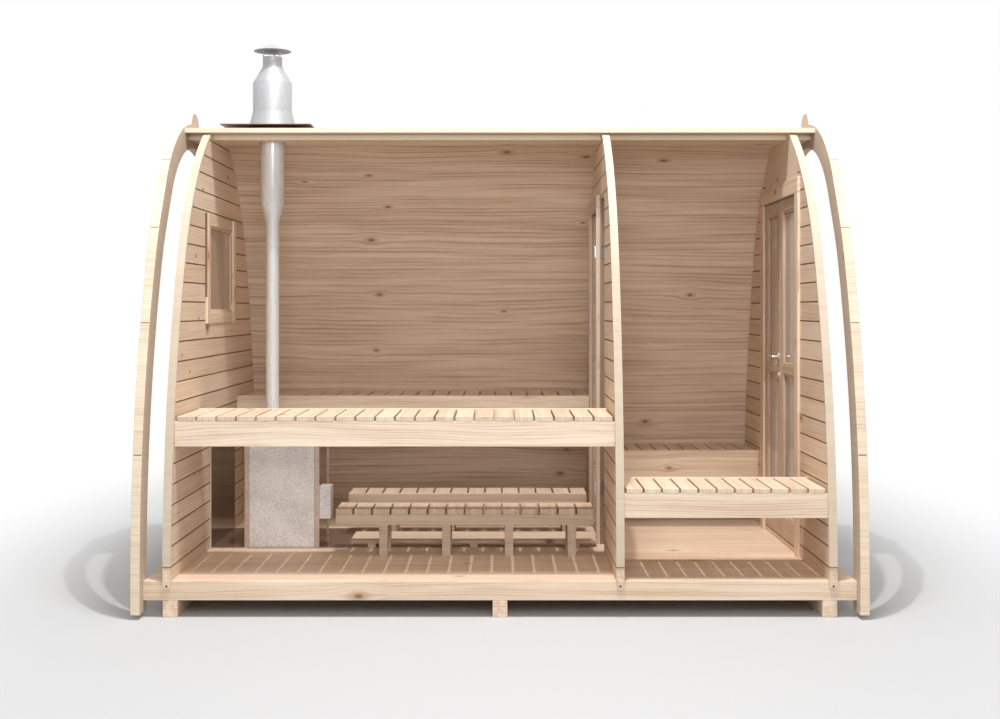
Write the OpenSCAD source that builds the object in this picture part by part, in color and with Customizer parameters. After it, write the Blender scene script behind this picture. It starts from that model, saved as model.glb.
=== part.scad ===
// Cutaway sauna pod: egg-shaped timber body on three sleepers, with a sauna room and a changing room.
// X runs along the ridge, Y across it (the open side is -Y) and Z up from the ground.
// The origin is on the ground under the middle of the ridge.

/* [Body] */
// Distance from the middle of the pod to the inner face of each end wall
room_half_len = 1545; // [1400:5:1800]
// Half of the clear width between the curved side walls at floor level
half_width = 1140; // [1110:5:1250]
// Radius of the gently curved side
side_r = 4000; // [3600:50:4600]
// Height above the floor at which the side turns into the tighter shoulder
side_rise = 1530; // [1400:10:1600]
// Radius of the shoulder
shoulder_r = 1400; // [1350:10:1500]
// Thickness of the end walls and of the partition
wall_t = 38; // [28:1:60]
// Thickness of the curved wall and roof boards
shell_t = 38; // [22:1:50]
// Gap between the edge of an upright wall and the curved boards
shell_fit = 1; // [0.5:0.5:5]
// Height of the ridge board's underside above the inside of the roof boards beside it
ridge_lift = 16; // [8:1:20]
// Distance that the roof runs out past each end wall
overhang = 95; // [60:1:200]

/* [Floor] */
// Height of the sleepers
sleeper_h = 80; // [50:1:140]
// Width of a sleeper
sleeper_w = 70; // [45:1:120]
// Distance of the outer sleepers from the middle
sleeper_x = 1550; // [1200:5:1580]
// Height of the boards that close the edge of the floor
edge_board_h = 90; // [80:1:160]
// Thickness of the edge boards
edge_board_t = 28; // [18:1:45]
// Thickness of the floor deck
deck_t = 28; // [18:1:40]
// Width of a floor joist
joist_w = 45; // [35:1:80]
// Number of floor joists
joist_n = 5; // [3:1:7]
// Distance that the walls lap down over the edge of the floor
wall_lap = 36; // [30:1:60]
// Thickness of the lapping tongue, which is the gap between floor edge and curved wall
lap_t = 14; // [8:1:30]

/* [Arches] */
// Thickness of an arch, along the ridge
arch_t = 44; // [30:1:70]
// Depth of an arch, across its curve
arch_depth = 130; // [90:1:180]
// Distance that the arches stand proud of the curved boards
arch_proud = 7; // [2:1:30]
// Distance of the feet of the arches above the ground
arch_lift = 22; // [5:1:60]

// Radius of the arches' crown, on the line of the inside of the curved boards
crown_r = 707; // [660:1:760]
// Angle above the level at which the arches leave the line of the shoulder
crown_turn = 32.4; // [30:0.2:36]
// Length of the straight piece between an arch's shoulder and its crown
crown_straight = 200; // [170:5:230]
// Width of the peak on an arch's crown, at its foot
peak_w = 204; // [160:2:240]
// Width of the peak's rounded top
peak_top_w = 124; // [90:2:140]
// Height of the peak above the crown
peak_h = 66; // [40:1:90]
// Height of the peak's rounding
peak_round_h = 14; // [8:1:20]

/* [Ridge] */
// Thickness of the ridge board
ridge_board_t = 25; // [20:1:40]
// Width of the ridge board
ridge_board_w = 498; // [420:2:540]
// Width of the beam under the ridge board
ridge_beam_w = 284; // [170:2:330]
// Height of the beam under the ridge board
ridge_beam_h = 27; // [20:1:60]

/* [Partition] */
// Distance of the partition's left face from the middle
partition_x = 546; // [300:2:700]
// Width of the hole in the partition
hole_w = 937; // [850:1:960]
// Height of that hole above the floor
hole_h = 1881; // [1750:1:1920]
// Distance of the middle of that hole behind the ridge line
hole_y = 92; // [60:1:110]
// Distance from the hole's far edge to the near edge of the doorway's casing
sauna_post_from_far = 654; // [600:1:700]
// Width of the casing around the sauna doorway
sauna_casing_w = 45; // [35:1:70]
// Distance that the far casing board reaches in front of the hole
sauna_casing_lap = 32; // [10:1:34]
// Thickness of the casing
sauna_casing_t = 22; // [12:1:40]
// Height of the sauna doorway above the floor
sauna_door_h = 1830; // [1700:5:1850]
// Height of the casing board over the doorway
sauna_head_h = 70; // [40:1:90]
// Width of the post in the hole behind the near casing board
sauna_post_w = 37; // [25:1:60]
// Thickness of the panel that closes the hole beside the door
side_panel_t = 14; // [8:1:20]
// Height of the sauna threshold
sauna_threshold_h = 20; // [10:1:30]

/* [Sauna door] */
// Thickness of the glass leaf
sauna_glass_t = 8; // [6:1:12]
// Gap around the glass leaf
sauna_glass_gap = 8; // [6:0.5:12]
// Distance of the glass behind the partition's right face
sauna_glass_inset = 15; // [3:1:20]
// Length of a hinge
hinge_l = 65; // [50:1:110]
// Radius of a hinge barrel
hinge_r = 6; // [5:0.5:8]
// Radius of a hinge pin
hinge_pin_r = 3; // [2:0.5:3.5]
// Length of a hinge plate, away from its pin
hinge_plate_l = 45; // [30:1:60]
// Length of the hinge plates on the glass leaf
glass_plate_l = 50; // [30:1:70]
// Height of the lower sauna door hinge above the floor
sauna_hinge_low = 310; // [200:5:500]
// Height of the upper sauna door hinge above the floor
sauna_hinge_high = 1590; // [1200:5:1650]

/* [Entrance] */
// Distance of the middle of the entrance from the ridge line
entrance_y = 0; // [-100:5:100]
// Clear width of the entrance
entrance_w = 853; // [780:1:900]
// Height of the entrance above the floor
entrance_h = 1881; // [1750:1:1920]
// Width of the casing boards
casing_w = 80; // [50:1:110]
// Thickness of the casing boards
casing_t = 16; // [10:1:25]
// Height of the sill
sill_h = 25; // [15:1:40]
// Thickness of a door leaf
leaf_t = 40; // [35:1:50]
// Gap around the door leaves
leaf_gap = 6; // [5:0.5:10]
// Gap between the two door leaves
leaf_meeting_gap = 12; // [10:1:20]
// Width of the stiles and of the top rail
stile_w = 66; // [50:1:90]
// Height of the bottom rail
bottom_rail_h = 120; // [80:1:200]
// Height of the middle rail
mid_rail_h = 50; // [30:1:80]
// Distance of the outer hinges' middles from the ends of a leaf
leaf_hinge_inset = 200; // [120:5:300]
// Height of the middle rail's underside above the floor
mid_rail_z = 925; // [800:1:1100]
// Thickness of a door pane
pane_t = 12; // [6:1:20]
// Distance of the panes behind the inner face of the leaf
pane_inset = 14; // [8:1:18]
// Height of the lever handles above the floor
handle_z = 1015; // [1010:1:1100]
// Length of a lever
lever_l = 115; // [90:1:130]
// Distance of a lever from the face of the door
lever_reach = 33; // [28:1:50]
// Radius of a lever
lever_r = 8; // [6:0.5:10]
// Height of the lock cover above the floor
lock_z = 908; // [850:1:930]
// Radius of the handle and lock covers
rosette_r = 25; // [18:1:30]
// Thickness of the handle and lock covers
rosette_t = 8; // [5:1:12]

/* [Window] */
// Distance of the middle of the window from the ridge line
window_y = 15; // [-150:5:150]
// Clear width of the window
window_w = 650; // [400:5:800]
// Clear height of the window
window_h = 462; // [300:5:600]
// Height of the window's lower edge above the floor
window_z = 1262; // [1000:5:1300]
// Width of the window casing
window_casing_w = 60; // [40:1:90]
// Thickness of the window glass
window_glass_t = 16; // [6:1:24]

/* [Benches] */
// Width that a slat aims at, before the slats are spread evenly
slat_w = 84.5; // [60:0.5:120]
// Width that a slat of the low benches aims at
low_slat_w = 86.5; // [60:0.5:120]
// Gap between slats
slat_gap = 10; // [6:1:16]
// Thickness of a slat
slat_t = 25; // [18:1:40]
// Thickness of a low bench slat
low_slat_t = 29; // [18:1:40]
// Thickness of the boards that carry the slats
bearer_t = 28; // [20:1:40]
// Height of the upper benches above the floor
upper_bench_z = 769; // [650:1:850]
// Height of the boards under the upper slats
upper_bearer_h = 118; // [80:1:140]
// Height of the board that covers the inner ends of the upper slats
upper_fascia_h = 143; // [120:1:180]
// Gap between a bench and the curved wall
bench_wall_gap = 8; // [3:1:40]
// Gap between the end slats of a fixed bench and the walls
bench_end_gap = 12; // [1:1:30]
// Distance from the ridge line to the inner edge of the near upper bench
upper_bench_in_near = 505; // [480:5:700]
// Distance from the ridge line to the inner edge of the far upper bench
upper_bench_in_far = 515; // [480:5:700]
// Height of the changing room benches above the floor
low_seat_z = 433; // [350:1:500]
// Height of the boards under their slats
low_seat_bearer_h = 114; // [60:1:130]
// Height of the board that covers the inner ends of their slats
low_seat_fascia_h = 165; // [120:1:190]
// Gap between the near changing room bench and the entrance casing
low_seat_near_gap = 143; // [20:1:250]
// Gap between the far changing room bench and the entrance casing
low_seat_far_gap = 144; // [20:1:250]

/* [Low benches] */
// Gap between the low benches and the box on the stove's side
low_bench_stove_gap = 53; // [10:1:150]
// Distance of their right ends from the partition
low_bench_end_gap = 60; // [50:1:150]
// Height of the low benches above the floor
low_bench_z = 243; // [200:1:300]
// Depth of a low bench
low_bench_depth = 255; // [200:1:300]
// Distance from the ridge line to the front of the near low bench
low_bench_near_y = -465; // [-485:1:-455]
// Distance from the ridge line to the front of the far low bench
low_bench_far_y = 145; // [125:1:170]
// Height of the boards under the low bench slats
low_apron_h = 53; // [40:1:70]
// Height of the board that covers the inner ends of the low bench slats
low_fascia_h = 82; // [60:1:100]
// Width of a leg
leg_w = 44; // [35:1:60]
// Number of legs in a row
leg_n = 4; // [3:1:5]
// Distance from the left end of a low bench to the middle of its first leg
leg_inset = 247; // [60:1:300]
// Distance from the right end of a low bench to the middle of its last leg
leg_end_inset = 114; // [60:1:300]
// Gap between the foot board and the casing of the sauna doorway
foot_board_end_gap = 4; // [2:1:150]
// Gap between the foot board and the heat plate on the floor
foot_board_plate_gap = 4; // [2:1:150]
// Distance from the ridge line to the near edge of the foot board
foot_board_y = -195; // [-205:1:-180]
// Width of the foot board
foot_board_w = 286; // [200:1:300]
// Thickness of the foot board's boards
foot_board_t = 20; // [15:1:30]
// Height of the battens under the foot board
foot_batten_h = 20; // [12:1:30]

/* [Stove] */
// Distance of the stove's left side from the window wall
stove_gap = 182; // [120:1:300]
// Width of the stove
stove_w = 400; // [300:5:450]
// Depth of the stove
stove_d = 430; // [350:5:560]
// Height of the stove
stove_h = 622; // [500:5:740]
// Distance from the ridge line to the front of the stove
stove_front = 245; // [200:1:300]
// Width of the stove's corner posts
stove_post = 26; // [12:1:30]
// Distance of the stove's panels behind its posts
stove_panel_inset = 6; // [2:1:12]
// Width of the box on the stove's right side
side_box_w = 60; // [30:1:90]
// Depth of that box
side_box_d = 110; // [60:1:200]
// Height of that box
side_box_h = 172; // [100:1:250]
// Height of that box above the floor
side_box_z = 161; // [100:1:300]
// Thickness of the heat plates
plate_t = 8; // [4:1:12]
// Distance that the heat plates reach in front of the stove
plate_front = 10; // [2:1:60]
// Length of the floor plate, along the ridge
floor_plate_len = 738; // [600:5:760]
// Width of the heat plates, across the ridge
plate_w = 660; // [600:5:800]
// Height of the heat plate on the wall
wall_plate_h = 630; // [400:5:900]

/* [Flue] */
// Distance of the flue from the window wall
flue_gap = 292; // [240:1:400]
// Radius of the lower flue
flue_r = 36; // [30:1:60]
// Radius of the upper, insulated flue
flue_top_r = 64; // [62:1:90]
// Thickness of the flue's sheet metal
sheet_t = 2; // [1:0.5:4]
// Height above the floor at which the flue starts to widen
flue_cone_z = 1749; // [1500:1:1800]
// Height of the widening
flue_cone_h = 108; // [60:1:160]
// Gap between the flue and the ridge boards
flue_clearance = 6; // [5:1:20]
// Side of the square roof plate
roof_plate_side = 486; // [400:2:600]
// Thickness of the roof plate
roof_plate_t = 4; // [3:1:10]
// Height of the curb under the roof plate
roof_curb_h = 20; // [10:1:40]
// Radius of the foot of the chimney
chimney_foot_r = 130; // [115:1:150]
// Radius of the chimney body
chimney_r = 106; // [90:1:112]
// Height of the chimney's foot
chimney_foot_h = 99; // [60:1:150]
// Height of the chimney body
chimney_body_h = 154; // [100:1:250]
// Height of the chimney's shoulder
chimney_shoulder_h = 90; // [50:1:130]
// Radius of the chimney's neck
chimney_neck_r = 53; // [40:1:60]
// Height of the neck
chimney_neck_h = 53; // [30:1:90]
// Radius of the cap
cap_r = 102; // [80:1:120]
// Height of the cap's cone
cap_h = 44; // [30:1:80]
// Gap between the neck and the cap
cap_gap = 33; // [20:1:60]

/* [Hidden] */
$fn = 64;

spruce = [0.93, 0.83, 0.69];
steel = [0.80, 0.80, 0.81];
pane_colour = [0.75, 0.85, 0.88, 0.4];

// Points along each arc of the body's outline
arc_steps = 14;
// Gap that keeps two like pieces in one node apart
joint = 1;
// Free play between a hinge pin and its barrel
pin_play = 0.2;

frame_z = sleeper_h;
floor_z = sleeper_h + edge_board_h;
wall_out_x = room_half_len + wall_t;
arch_in_x = wall_out_x + overhang;
floor_half = half_width - lap_t;
partition_out_x = partition_x + wall_t;
stove_x0 = -room_half_len + stove_gap;
stove_x1 = stove_x0 + stove_w;
stove_z = floor_z + plate_t;

// ---- Outline of the body: a side arc, then a shoulder arc that carries on from it ----
side_cy = half_width - side_r;
turn_a = asin(side_rise / side_r);
shoulder_cy = side_cy + (side_r - shoulder_r) * cos(turn_a);
shoulder_cz = floor_z + (side_r - shoulder_r) * sin(turn_a);
// The ridge board rests on the upright walls, a little above the upper edges of the roof boards
ridge_half = ridge_board_w / 2;
wall_top_z = shoulder_cz + sqrt(pow(shoulder_r, 2) - pow(ridge_half - shoulder_cy, 2)) + ridge_lift;
board_top_z = wall_top_z + ridge_board_t;

// Distance from the ridge line of the outline moved out by d, at height z on the shoulder
function shoulder_y(z, d = 0) = shoulder_cy + sqrt(pow(shoulder_r + d, 2) - pow(z - shoulder_cz, 2));
// Angle on the shoulder arc moved out by d, at distance y from the ridge line
function shoulder_a(y, d = 0) = acos((y - shoulder_cy) / (shoulder_r + d));
// Distance from the ridge line of the outline at height z on the side
function side_y(z) = side_cy + sqrt(pow(side_r, 2) - pow(z - floor_z, 2));
function arc(cy, cz, r, a0, a1) =
    [for (i = [0:arc_steps]) let (a = a0 + (a1 - a0) * i / arc_steps) [cy + r * cos(a), cz + r * sin(a)]];
function back(list) = [for (i = [len(list) - 1:-1:0]) list[i]];

wall_top_half = shoulder_y(wall_top_z, -shell_fit);
wall_half = half_width - shell_fit;

// Turns an outline in Y and Z into a plate of thickness t that starts at x
module plate(x, t) {
    translate([x, 0, 0]) rotate([90, 0, 90]) linear_extrude(t) children();
}

module box(x0, x1, y0, y1, z0, z1) {
    translate([x0, y0, z0]) cube([x1 - x0, y1 - y0, z1 - z0]);
}

// ---- Floor ----
module sleepers() {
    color(spruce) for (x = [-sleeper_x, 0, sleeper_x])
        box(x - sleeper_w / 2, x + sleeper_w / 2, -floor_half, floor_half, 0, sleeper_h);
}

module floor_joists() {
    span = 2 * (floor_half - edge_board_t) - joist_w;
    color(spruce) for (i = [0:joist_n - 1]) {
        y = -span / 2 + span * i / (joist_n - 1);
        box(-arch_in_x, arch_in_x, y - joist_w / 2, y + joist_w / 2, frame_z, floor_z - deck_t);
    }
}

module floor_edge_boards() {
    color(spruce) for (s = [-1, 1]) scale([1, s, 1])
        box(-arch_in_x, arch_in_x, floor_half - edge_board_t, floor_half, frame_z, floor_z);
}

module floor_deck() {
    inside = floor_half - edge_board_t;
    color(spruce) box(-arch_in_x, arch_in_x, -inside, inside, floor_z - deck_t, floor_z);
}

// ---- Upright walls ----
// An upright wall's outline from y0 to y1 and above z0, notched for the ridge beam
module wall_outline(y0, y1, z0) {
    side = concat([[wall_half, floor_z]],
        arc(side_cy, floor_z, side_r - shell_fit, 0, turn_a),
        arc(shoulder_cy, shoulder_cz, shoulder_r - shell_fit, turn_a, shoulder_a(wall_top_half, -shell_fit)));
    other_side = [for (p = back(side)) [-p[0], p[1]]];
    difference() {
        intersection() {
            polygon(concat(side, other_side));
            translate([y0, z0]) square([y1 - y0, board_top_z - z0]);
        }
        translate([-ridge_beam_w / 2, wall_top_z - ridge_beam_h]) square([ridge_beam_w, ridge_beam_h + 1]);
    }
}

// Tongue that laps down over the edge of the floor, round at its lower end
module wall_tongue(x, s) {
    round_z = floor_z - wall_lap + wall_t / 2;
    lap = wall_half - floor_half;
    scale([1, s, 1]) {
        box(x, x + wall_t, floor_half, wall_half, round_z, floor_z);
        translate([x + wall_t / 2, wall_half, round_z]) rotate([90, 0, 0]) cylinder(h = lap, d = wall_t);
    }
}

module wall_side(x, s, from_y) {
    y0 = s < 0 ? -half_width : from_y;
    y1 = s < 0 ? from_y : half_width;
    color(spruce) {
        plate(x, wall_t) wall_outline(y0, y1, floor_z);
        wall_tongue(x, s);
    }
}

module window_wall() {
    color(spruce) difference() {
        union() {
            plate(-wall_out_x, wall_t) wall_outline(-half_width, half_width, floor_z);
            for (s = [-1, 1]) wall_tongue(-wall_out_x, s);
        }
        box(-wall_out_x - 1, -room_half_len + 1, window_y - window_w / 2, window_y + window_w / 2,
            floor_z + window_z, floor_z + window_z + window_h);
    }
}

// Four boards around an opening, with the upright ones between the level ones
module casing_ring(x0, x1, y, w, z0, h, board_w) {
    for (s = [-1, 1]) {
        edge = y + s * (w + board_w) / 2;
        box(x0, x1, edge - board_w / 2, edge + board_w / 2, z0 + joint, z0 + h - joint);
    }
    for (z = [z0 - board_w, z0 + h]) box(x0, x1, y - w / 2 - board_w, y + w / 2 + board_w, z, z + board_w);
}

module window_casing() {
    color(spruce) for (x = [-wall_out_x - casing_t, -room_half_len])
        casing_ring(x, x + casing_t, window_y, window_w, floor_z + window_z, window_h, window_casing_w);
}

module window_glass() {
    x = -wall_out_x + (wall_t - window_glass_t) / 2;
    color(pane_colour) box(x, x + window_glass_t, window_y - window_w / 2, window_y + window_w / 2,
        floor_z + window_z, floor_z + window_z + window_h);
}

// The hole in the partition, and the edges of the doorway in it
hole_y0 = hole_y - hole_w / 2;
hole_y1 = hole_y + hole_w / 2;
hole_top = floor_z + hole_h;
post_y = hole_y1 - sauna_post_from_far;
sauna_y0 = post_y + sauna_casing_w;
sauna_y1 = hole_y1 - sauna_casing_lap;

module partition_sides() {
    wall_side(partition_x, -1, hole_y0);
    wall_side(partition_x, 1, hole_y1);
}
module partition_top() {
    color(spruce) plate(partition_x, wall_t) wall_outline(hole_y0, hole_y1, hole_top);
}

module entrance_wall_sides() {
    wall_side(room_half_len, -1, entrance_y - entrance_w / 2);
    wall_side(room_half_len, 1, entrance_y + entrance_w / 2);
}
module entrance_wall_top() {
    color(spruce) plate(room_half_len, wall_t)
        wall_outline(entrance_y - entrance_w / 2, entrance_y + entrance_w / 2, floor_z + entrance_h);
}

// ---- Sauna doorway ----
casing_x = partition_x - sauna_casing_t;
lining_z = floor_z + sauna_door_h;

// Casing on the sauna side, with the post, head lining and threshold that stand in the hole behind it
module sauna_door_frame() {
    color(spruce) {
        box(casing_x, partition_x, post_y, sauna_y0, floor_z, lining_z);
        box(partition_x, partition_out_x, post_y, post_y + sauna_post_w, floor_z, hole_top);
        box(casing_x, partition_x, sauna_y1, sauna_y1 + sauna_casing_w, floor_z, lining_z);
        box(casing_x, partition_x, post_y, sauna_y1 + sauna_casing_w, lining_z, lining_z + sauna_head_h);
        box(partition_x, partition_out_x, post_y + sauna_post_w, hole_y1, lining_z, hole_top);
        box(partition_x, partition_out_x, post_y + sauna_post_w, hole_y1, floor_z, floor_z + sauna_threshold_h);
    }
}

// Plain panel between the post and the near edge of the hole, set back from the sauna side
module sauna_side_panel() {
    color(spruce) box(partition_out_x - side_panel_t, partition_out_x, hole_y0, post_y, floor_z, hole_top);
}

sauna_glass_x = partition_out_x - sauna_glass_inset - sauna_glass_t;
sauna_axis_x = partition_out_x + hinge_r + 1;
sauna_axis_y = post_y + sauna_post_w + 3;
sauna_glass_y0 = post_y + sauna_post_w + sauna_glass_gap;
sauna_glass_low = floor_z + sauna_threshold_h + sauna_glass_gap;
hinge_plate_t = 4;
knuckle_gap = 1;

module sauna_door_glass() {
    color(pane_colour) box(sauna_glass_x, sauna_glass_x + sauna_glass_t,
        sauna_glass_y0, hole_y1 - sauna_glass_gap, sauna_glass_low, lining_z - sauna_glass_gap);
}

// The two end knuckles of a hinge with the pin through them, around its own axis
module fixed_knuckles() {
    third = hinge_l / 3;
    for (z = [-hinge_l / 2, hinge_l / 2 - third + knuckle_gap])
        translate([0, 0, z]) cylinder(h = third - knuckle_gap, r = hinge_r);
    translate([0, 0, -hinge_l / 2]) cylinder(h = hinge_l, r = hinge_pin_r);
}

// The middle knuckle, bored for the pin
module swinging_knuckle() {
    third = hinge_l / 3;
    difference() {
        children();
        translate([0, 0, -hinge_l]) cylinder(h = 2 * hinge_l, r = hinge_pin_r + pin_play);
    }
    difference() {
        translate([0, 0, -third / 2]) cylinder(h = third, r = hinge_r);
        translate([0, 0, -third]) cylinder(h = 2 * third, r = hinge_pin_r + pin_play);
    }
}

// Places a hinge's pieces on the axis of the sauna door, at both heights
module sauna_hinge_places() {
    for (z = [sauna_hinge_low, sauna_hinge_high]) translate([sauna_axis_x, sauna_axis_y, floor_z + z]) children();
}

module sauna_door_hinges() {
    third = hinge_l / 3;
    face = partition_out_x - sauna_axis_x;
    color(steel) sauna_hinge_places() {
        fixed_knuckles();
        for (s = [-1, 1]) {
            mid = s * (hinge_l / 2 - (third - knuckle_gap) / 2);
            box(face, face + hinge_plate_t, -sauna_post_w, 0,
                mid - (third - knuckle_gap) / 2, mid + (third - knuckle_gap) / 2);
        }
    }
}

// Plates on the glass with webs out to the swinging knuckles
module sauna_door_fittings() {
    third = hinge_l / 3;
    face = sauna_glass_x + sauna_glass_t - sauna_axis_x;
    edge = sauna_glass_y0 - sauna_axis_y;
    color(steel) sauna_hinge_places() swinging_knuckle() {
        box(face, 0, 0, edge + 2, -third / 2, third / 2);
        box(face, face + hinge_plate_t, edge, edge + glass_plate_l, -hinge_l / 2, hinge_l / 2);
    }
}

// ---- Entrance ----
module entrance_casing() {
    top = floor_z + entrance_h;
    color(spruce) for (x = [room_half_len - casing_t, wall_out_x]) {
        for (s = [-1, 1]) {
            edge = entrance_y + s * (entrance_w + casing_w) / 2;
            box(x, x + casing_t, edge - casing_w / 2, edge + casing_w / 2, floor_z, top - joint);
        }
        box(x, x + casing_t, entrance_y - entrance_w / 2 - casing_w, entrance_y + entrance_w / 2 + casing_w,
            top, top + casing_w);
    }
}

module entrance_sill() {
    color(spruce) box(room_half_len, wall_out_x, entrance_y - entrance_w / 2, entrance_y + entrance_w / 2,
        floor_z, floor_z + sill_h);
}

leaf_low = floor_z + sill_h + leaf_gap;
leaf_high = floor_z + entrance_h - leaf_gap;
leaf_in_x = wall_out_x - leaf_t;
// Where the leaf starts, counted from the middle of the entrance
leaf_from = leaf_meeting_gap / 2;
leaf_w = entrance_w / 2 - leaf_gap - leaf_from;
leaf_axis_x = wall_out_x + casing_t + 2;
leaf_axis_y = leaf_from + leaf_w - 2;
leaf_hinge_zs = [leaf_low + leaf_hinge_inset, (leaf_low + leaf_high) / 2, leaf_high - leaf_hinge_inset];
mid_low = floor_z + mid_rail_z;
mid_high = mid_low + mid_rail_h;

// Places a leaf's pieces on the near (-1) or far (1) side of the entrance's middle
module leaf_place(s) {
    translate([0, entrance_y, 0]) scale([1, s, 1]) children();
}

module leaf_frame(s) {
    inner = leaf_from + stile_w;
    outer = leaf_from + leaf_w - stile_w;
    color(spruce) leaf_place(s) difference() {
        box(leaf_in_x, wall_out_x, leaf_from, leaf_from + leaf_w, leaf_low, leaf_high);
        box(leaf_in_x - 1, wall_out_x + 1, inner, outer, leaf_low + bottom_rail_h, mid_low);
        box(leaf_in_x - 1, wall_out_x + 1, inner, outer, mid_high, leaf_high - stile_w);
    }
}

module leaf_glass(s) {
    inner = leaf_from + stile_w;
    outer = leaf_from + leaf_w - stile_w;
    x = leaf_in_x + pane_inset;
    color(pane_colour) leaf_place(s) {
        box(x, x + pane_t, inner, outer, leaf_low + bottom_rail_h, mid_low);
        box(x, x + pane_t, inner, outer, mid_high, leaf_high - stile_w);
    }
}

// Places a hinge's pieces on the axis of a leaf, at its three heights
module leaf_hinge_places(s) {
    leaf_place(s) for (z = leaf_hinge_zs) translate([leaf_axis_x, leaf_axis_y, z]) children();
}

// Hinge plates and knuckles that swing with the leaf
module leaf_hinges(s) {
    third = hinge_l / 3;
    face = wall_out_x - leaf_axis_x;
    color(steel) leaf_hinge_places(s) swinging_knuckle() {
        box(face, 0, -3, 0, -third / 2, third / 2);
        box(face, face + 3, -hinge_plate_l, 0, -third / 2, third / 2);
    }
}

// A cover, neck and lever on one face of the leaf, and the lock cover below
module lever_set(x, s) {
    y = leaf_from + stile_w / 2;
    turn = s > 0 ? 90 : -90;
    translate([x, y, floor_z + handle_z]) rotate([0, turn, 0]) {
        cylinder(h = rosette_t, r = rosette_r);
        cylinder(h = lever_reach, r = lever_r);
        translate([0, 0, lever_reach]) rotate([-90, 0, 0]) cylinder(h = lever_l, r = lever_r);
        translate([0, 0, lever_reach]) sphere(r = lever_r);
    }
    translate([x, y, floor_z + lock_z]) rotate([0, turn, 0]) cylinder(h = rosette_t, r = rosette_r);
}

module entrance_leaf_near_frame() { leaf_frame(-1); }
module entrance_leaf_near_glass() { leaf_glass(-1); }
module entrance_leaf_near_fittings() { leaf_hinges(-1); }
module entrance_leaf_far_frame() { leaf_frame(1); }
module entrance_leaf_far_glass() { leaf_glass(1); }
module entrance_leaf_far_fittings() {
    leaf_hinges(1);
    color(steel) leaf_place(1) {
        lever_set(wall_out_x, 1);
        lever_set(leaf_in_x, -1);
    }
}

// Hinge halves that are fixed to the outer casing
module entrance_hinges() {
    third = hinge_l / 3;
    face = wall_out_x + casing_t - leaf_axis_x;
    color(steel) for (s = [-1, 1]) leaf_hinge_places(s) {
        fixed_knuckles();
        for (t = [-1, 1]) {
            mid = t * (hinge_l / 2 - (third - knuckle_gap) / 2);
            box(face, face + hinge_plate_t, 0, hinge_plate_l,
                mid - (third - knuckle_gap) / 2, mid + (third - knuckle_gap) / 2);
        }
    }
}

// ---- Curved wall and roof on the far side ----
// A band of the shell between two angles on one of its two arcs, a joint short at its upper end
module shell_band(cy, cz, r, a0, a1) {
    top = a1 - joint / r * 180 / PI;
    color(spruce) plate(-arch_in_x, 2 * arch_in_x)
        polygon(concat(arc(cy, cz, r, a0, top), back(arc(cy, cz, r + shell_t, a0, top))));
}

module far_wall() {
    low = floor_z - wall_lap;
    shell_band(side_cy, floor_z, side_r, 0, turn_a / 2);
    color(spruce) box(-arch_in_x, arch_in_x, half_width, half_width + shell_t, low, floor_z);
    shell_band(side_cy, floor_z, side_r, turn_a / 2, turn_a);
}

// The upper band ends upright beside the ridge board, no higher than its top
shoulder_mid = (turn_a + shoulder_a(ridge_half)) / 2;
module far_roof() {
    shell_band(shoulder_cy, shoulder_cz, shoulder_r, turn_a, shoulder_mid);
    end_y = ridge_half + joint;
    inside = arc(shoulder_cy, shoulder_cz, shoulder_r, shoulder_mid, shoulder_a(end_y));
    outside = arc(shoulder_cy, shoulder_cz, shoulder_r + shell_t, shoulder_mid, shoulder_a(end_y, shell_t));
    color(spruce) plate(-arch_in_x, 2 * arch_in_x) intersection() {
        polygon(concat(inside, back(outside)));
        square([half_width + shell_t, board_top_z]);
    }
}

// ---- Ridge ----
flue_x = -room_half_len + flue_gap;

module ridge_board() {
    color(spruce) difference() {
        box(-arch_in_x, arch_in_x, -ridge_half, ridge_half, wall_top_z, board_top_z);
        translate([flue_x, 0, wall_top_z - 1]) cylinder(h = ridge_board_t + 2, r = flue_top_r + flue_clearance);
    }
}

module ridge_beam() {
    color(spruce) difference() {
        box(-arch_in_x, arch_in_x, -ridge_beam_w / 2, ridge_beam_w / 2, wall_top_z - ridge_beam_h, wall_top_z);
        translate([flue_x, 0, wall_top_z - ridge_beam_h - 1])
            cylinder(h = ridge_beam_h + 2, r = flue_top_r + flue_clearance);
    }
}

// ---- Arches ----
// The crown is a tighter arc than the shoulder, which a short straight piece leads into
crown_cy = shoulder_cy + (shoulder_r - crown_r) * cos(crown_turn) - crown_straight * sin(crown_turn);
crown_cz = shoulder_cz + (shoulder_r - crown_r) * sin(crown_turn) + crown_straight * cos(crown_turn);
// Angle on the crown arc of radius r at distance y from the ridge line
function crown_a(y, r) = acos((y - crown_cy) / r);

// One edge of an arch, moved out by d, from its foot to distance end_y from the ridge line
function arch_edge(d, end_y) = concat([[half_width + d, arch_lift]],
    arc(side_cy, floor_z, side_r + d, 0, turn_a),
    arc(shoulder_cy, shoulder_cz, shoulder_r + d, turn_a, crown_turn),
    arc(crown_cy, crown_cz, crown_r + d, crown_turn, crown_a(end_y, crown_r + d)));

module half_arch(x, s) {
    out = shell_t + arch_proud;
    // The peak's top is an arc as wide as peak_top_w and as high as peak_round_h
    top_half = peak_top_w / 2;
    top_r = (pow(top_half, 2) + pow(peak_round_h, 2)) / (2 * peak_round_h);
    top_z = crown_cz + crown_r + out + peak_h;
    peak = arc(0, top_z - top_r, top_r, acos(top_half / top_r), acos(joint / 2 / top_r));
    color(spruce) scale([1, s, 1]) plate(x, arch_t)
        polygon(concat(arch_edge(out, peak_w / 2), peak, back(arch_edge(out - arch_depth, joint / 2))));
}

module arch_left() { for (s = [-1, 1]) half_arch(-arch_in_x - arch_t, s); }
module arch_right() { for (s = [-1, 1]) half_arch(arch_in_x, s); }

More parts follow.
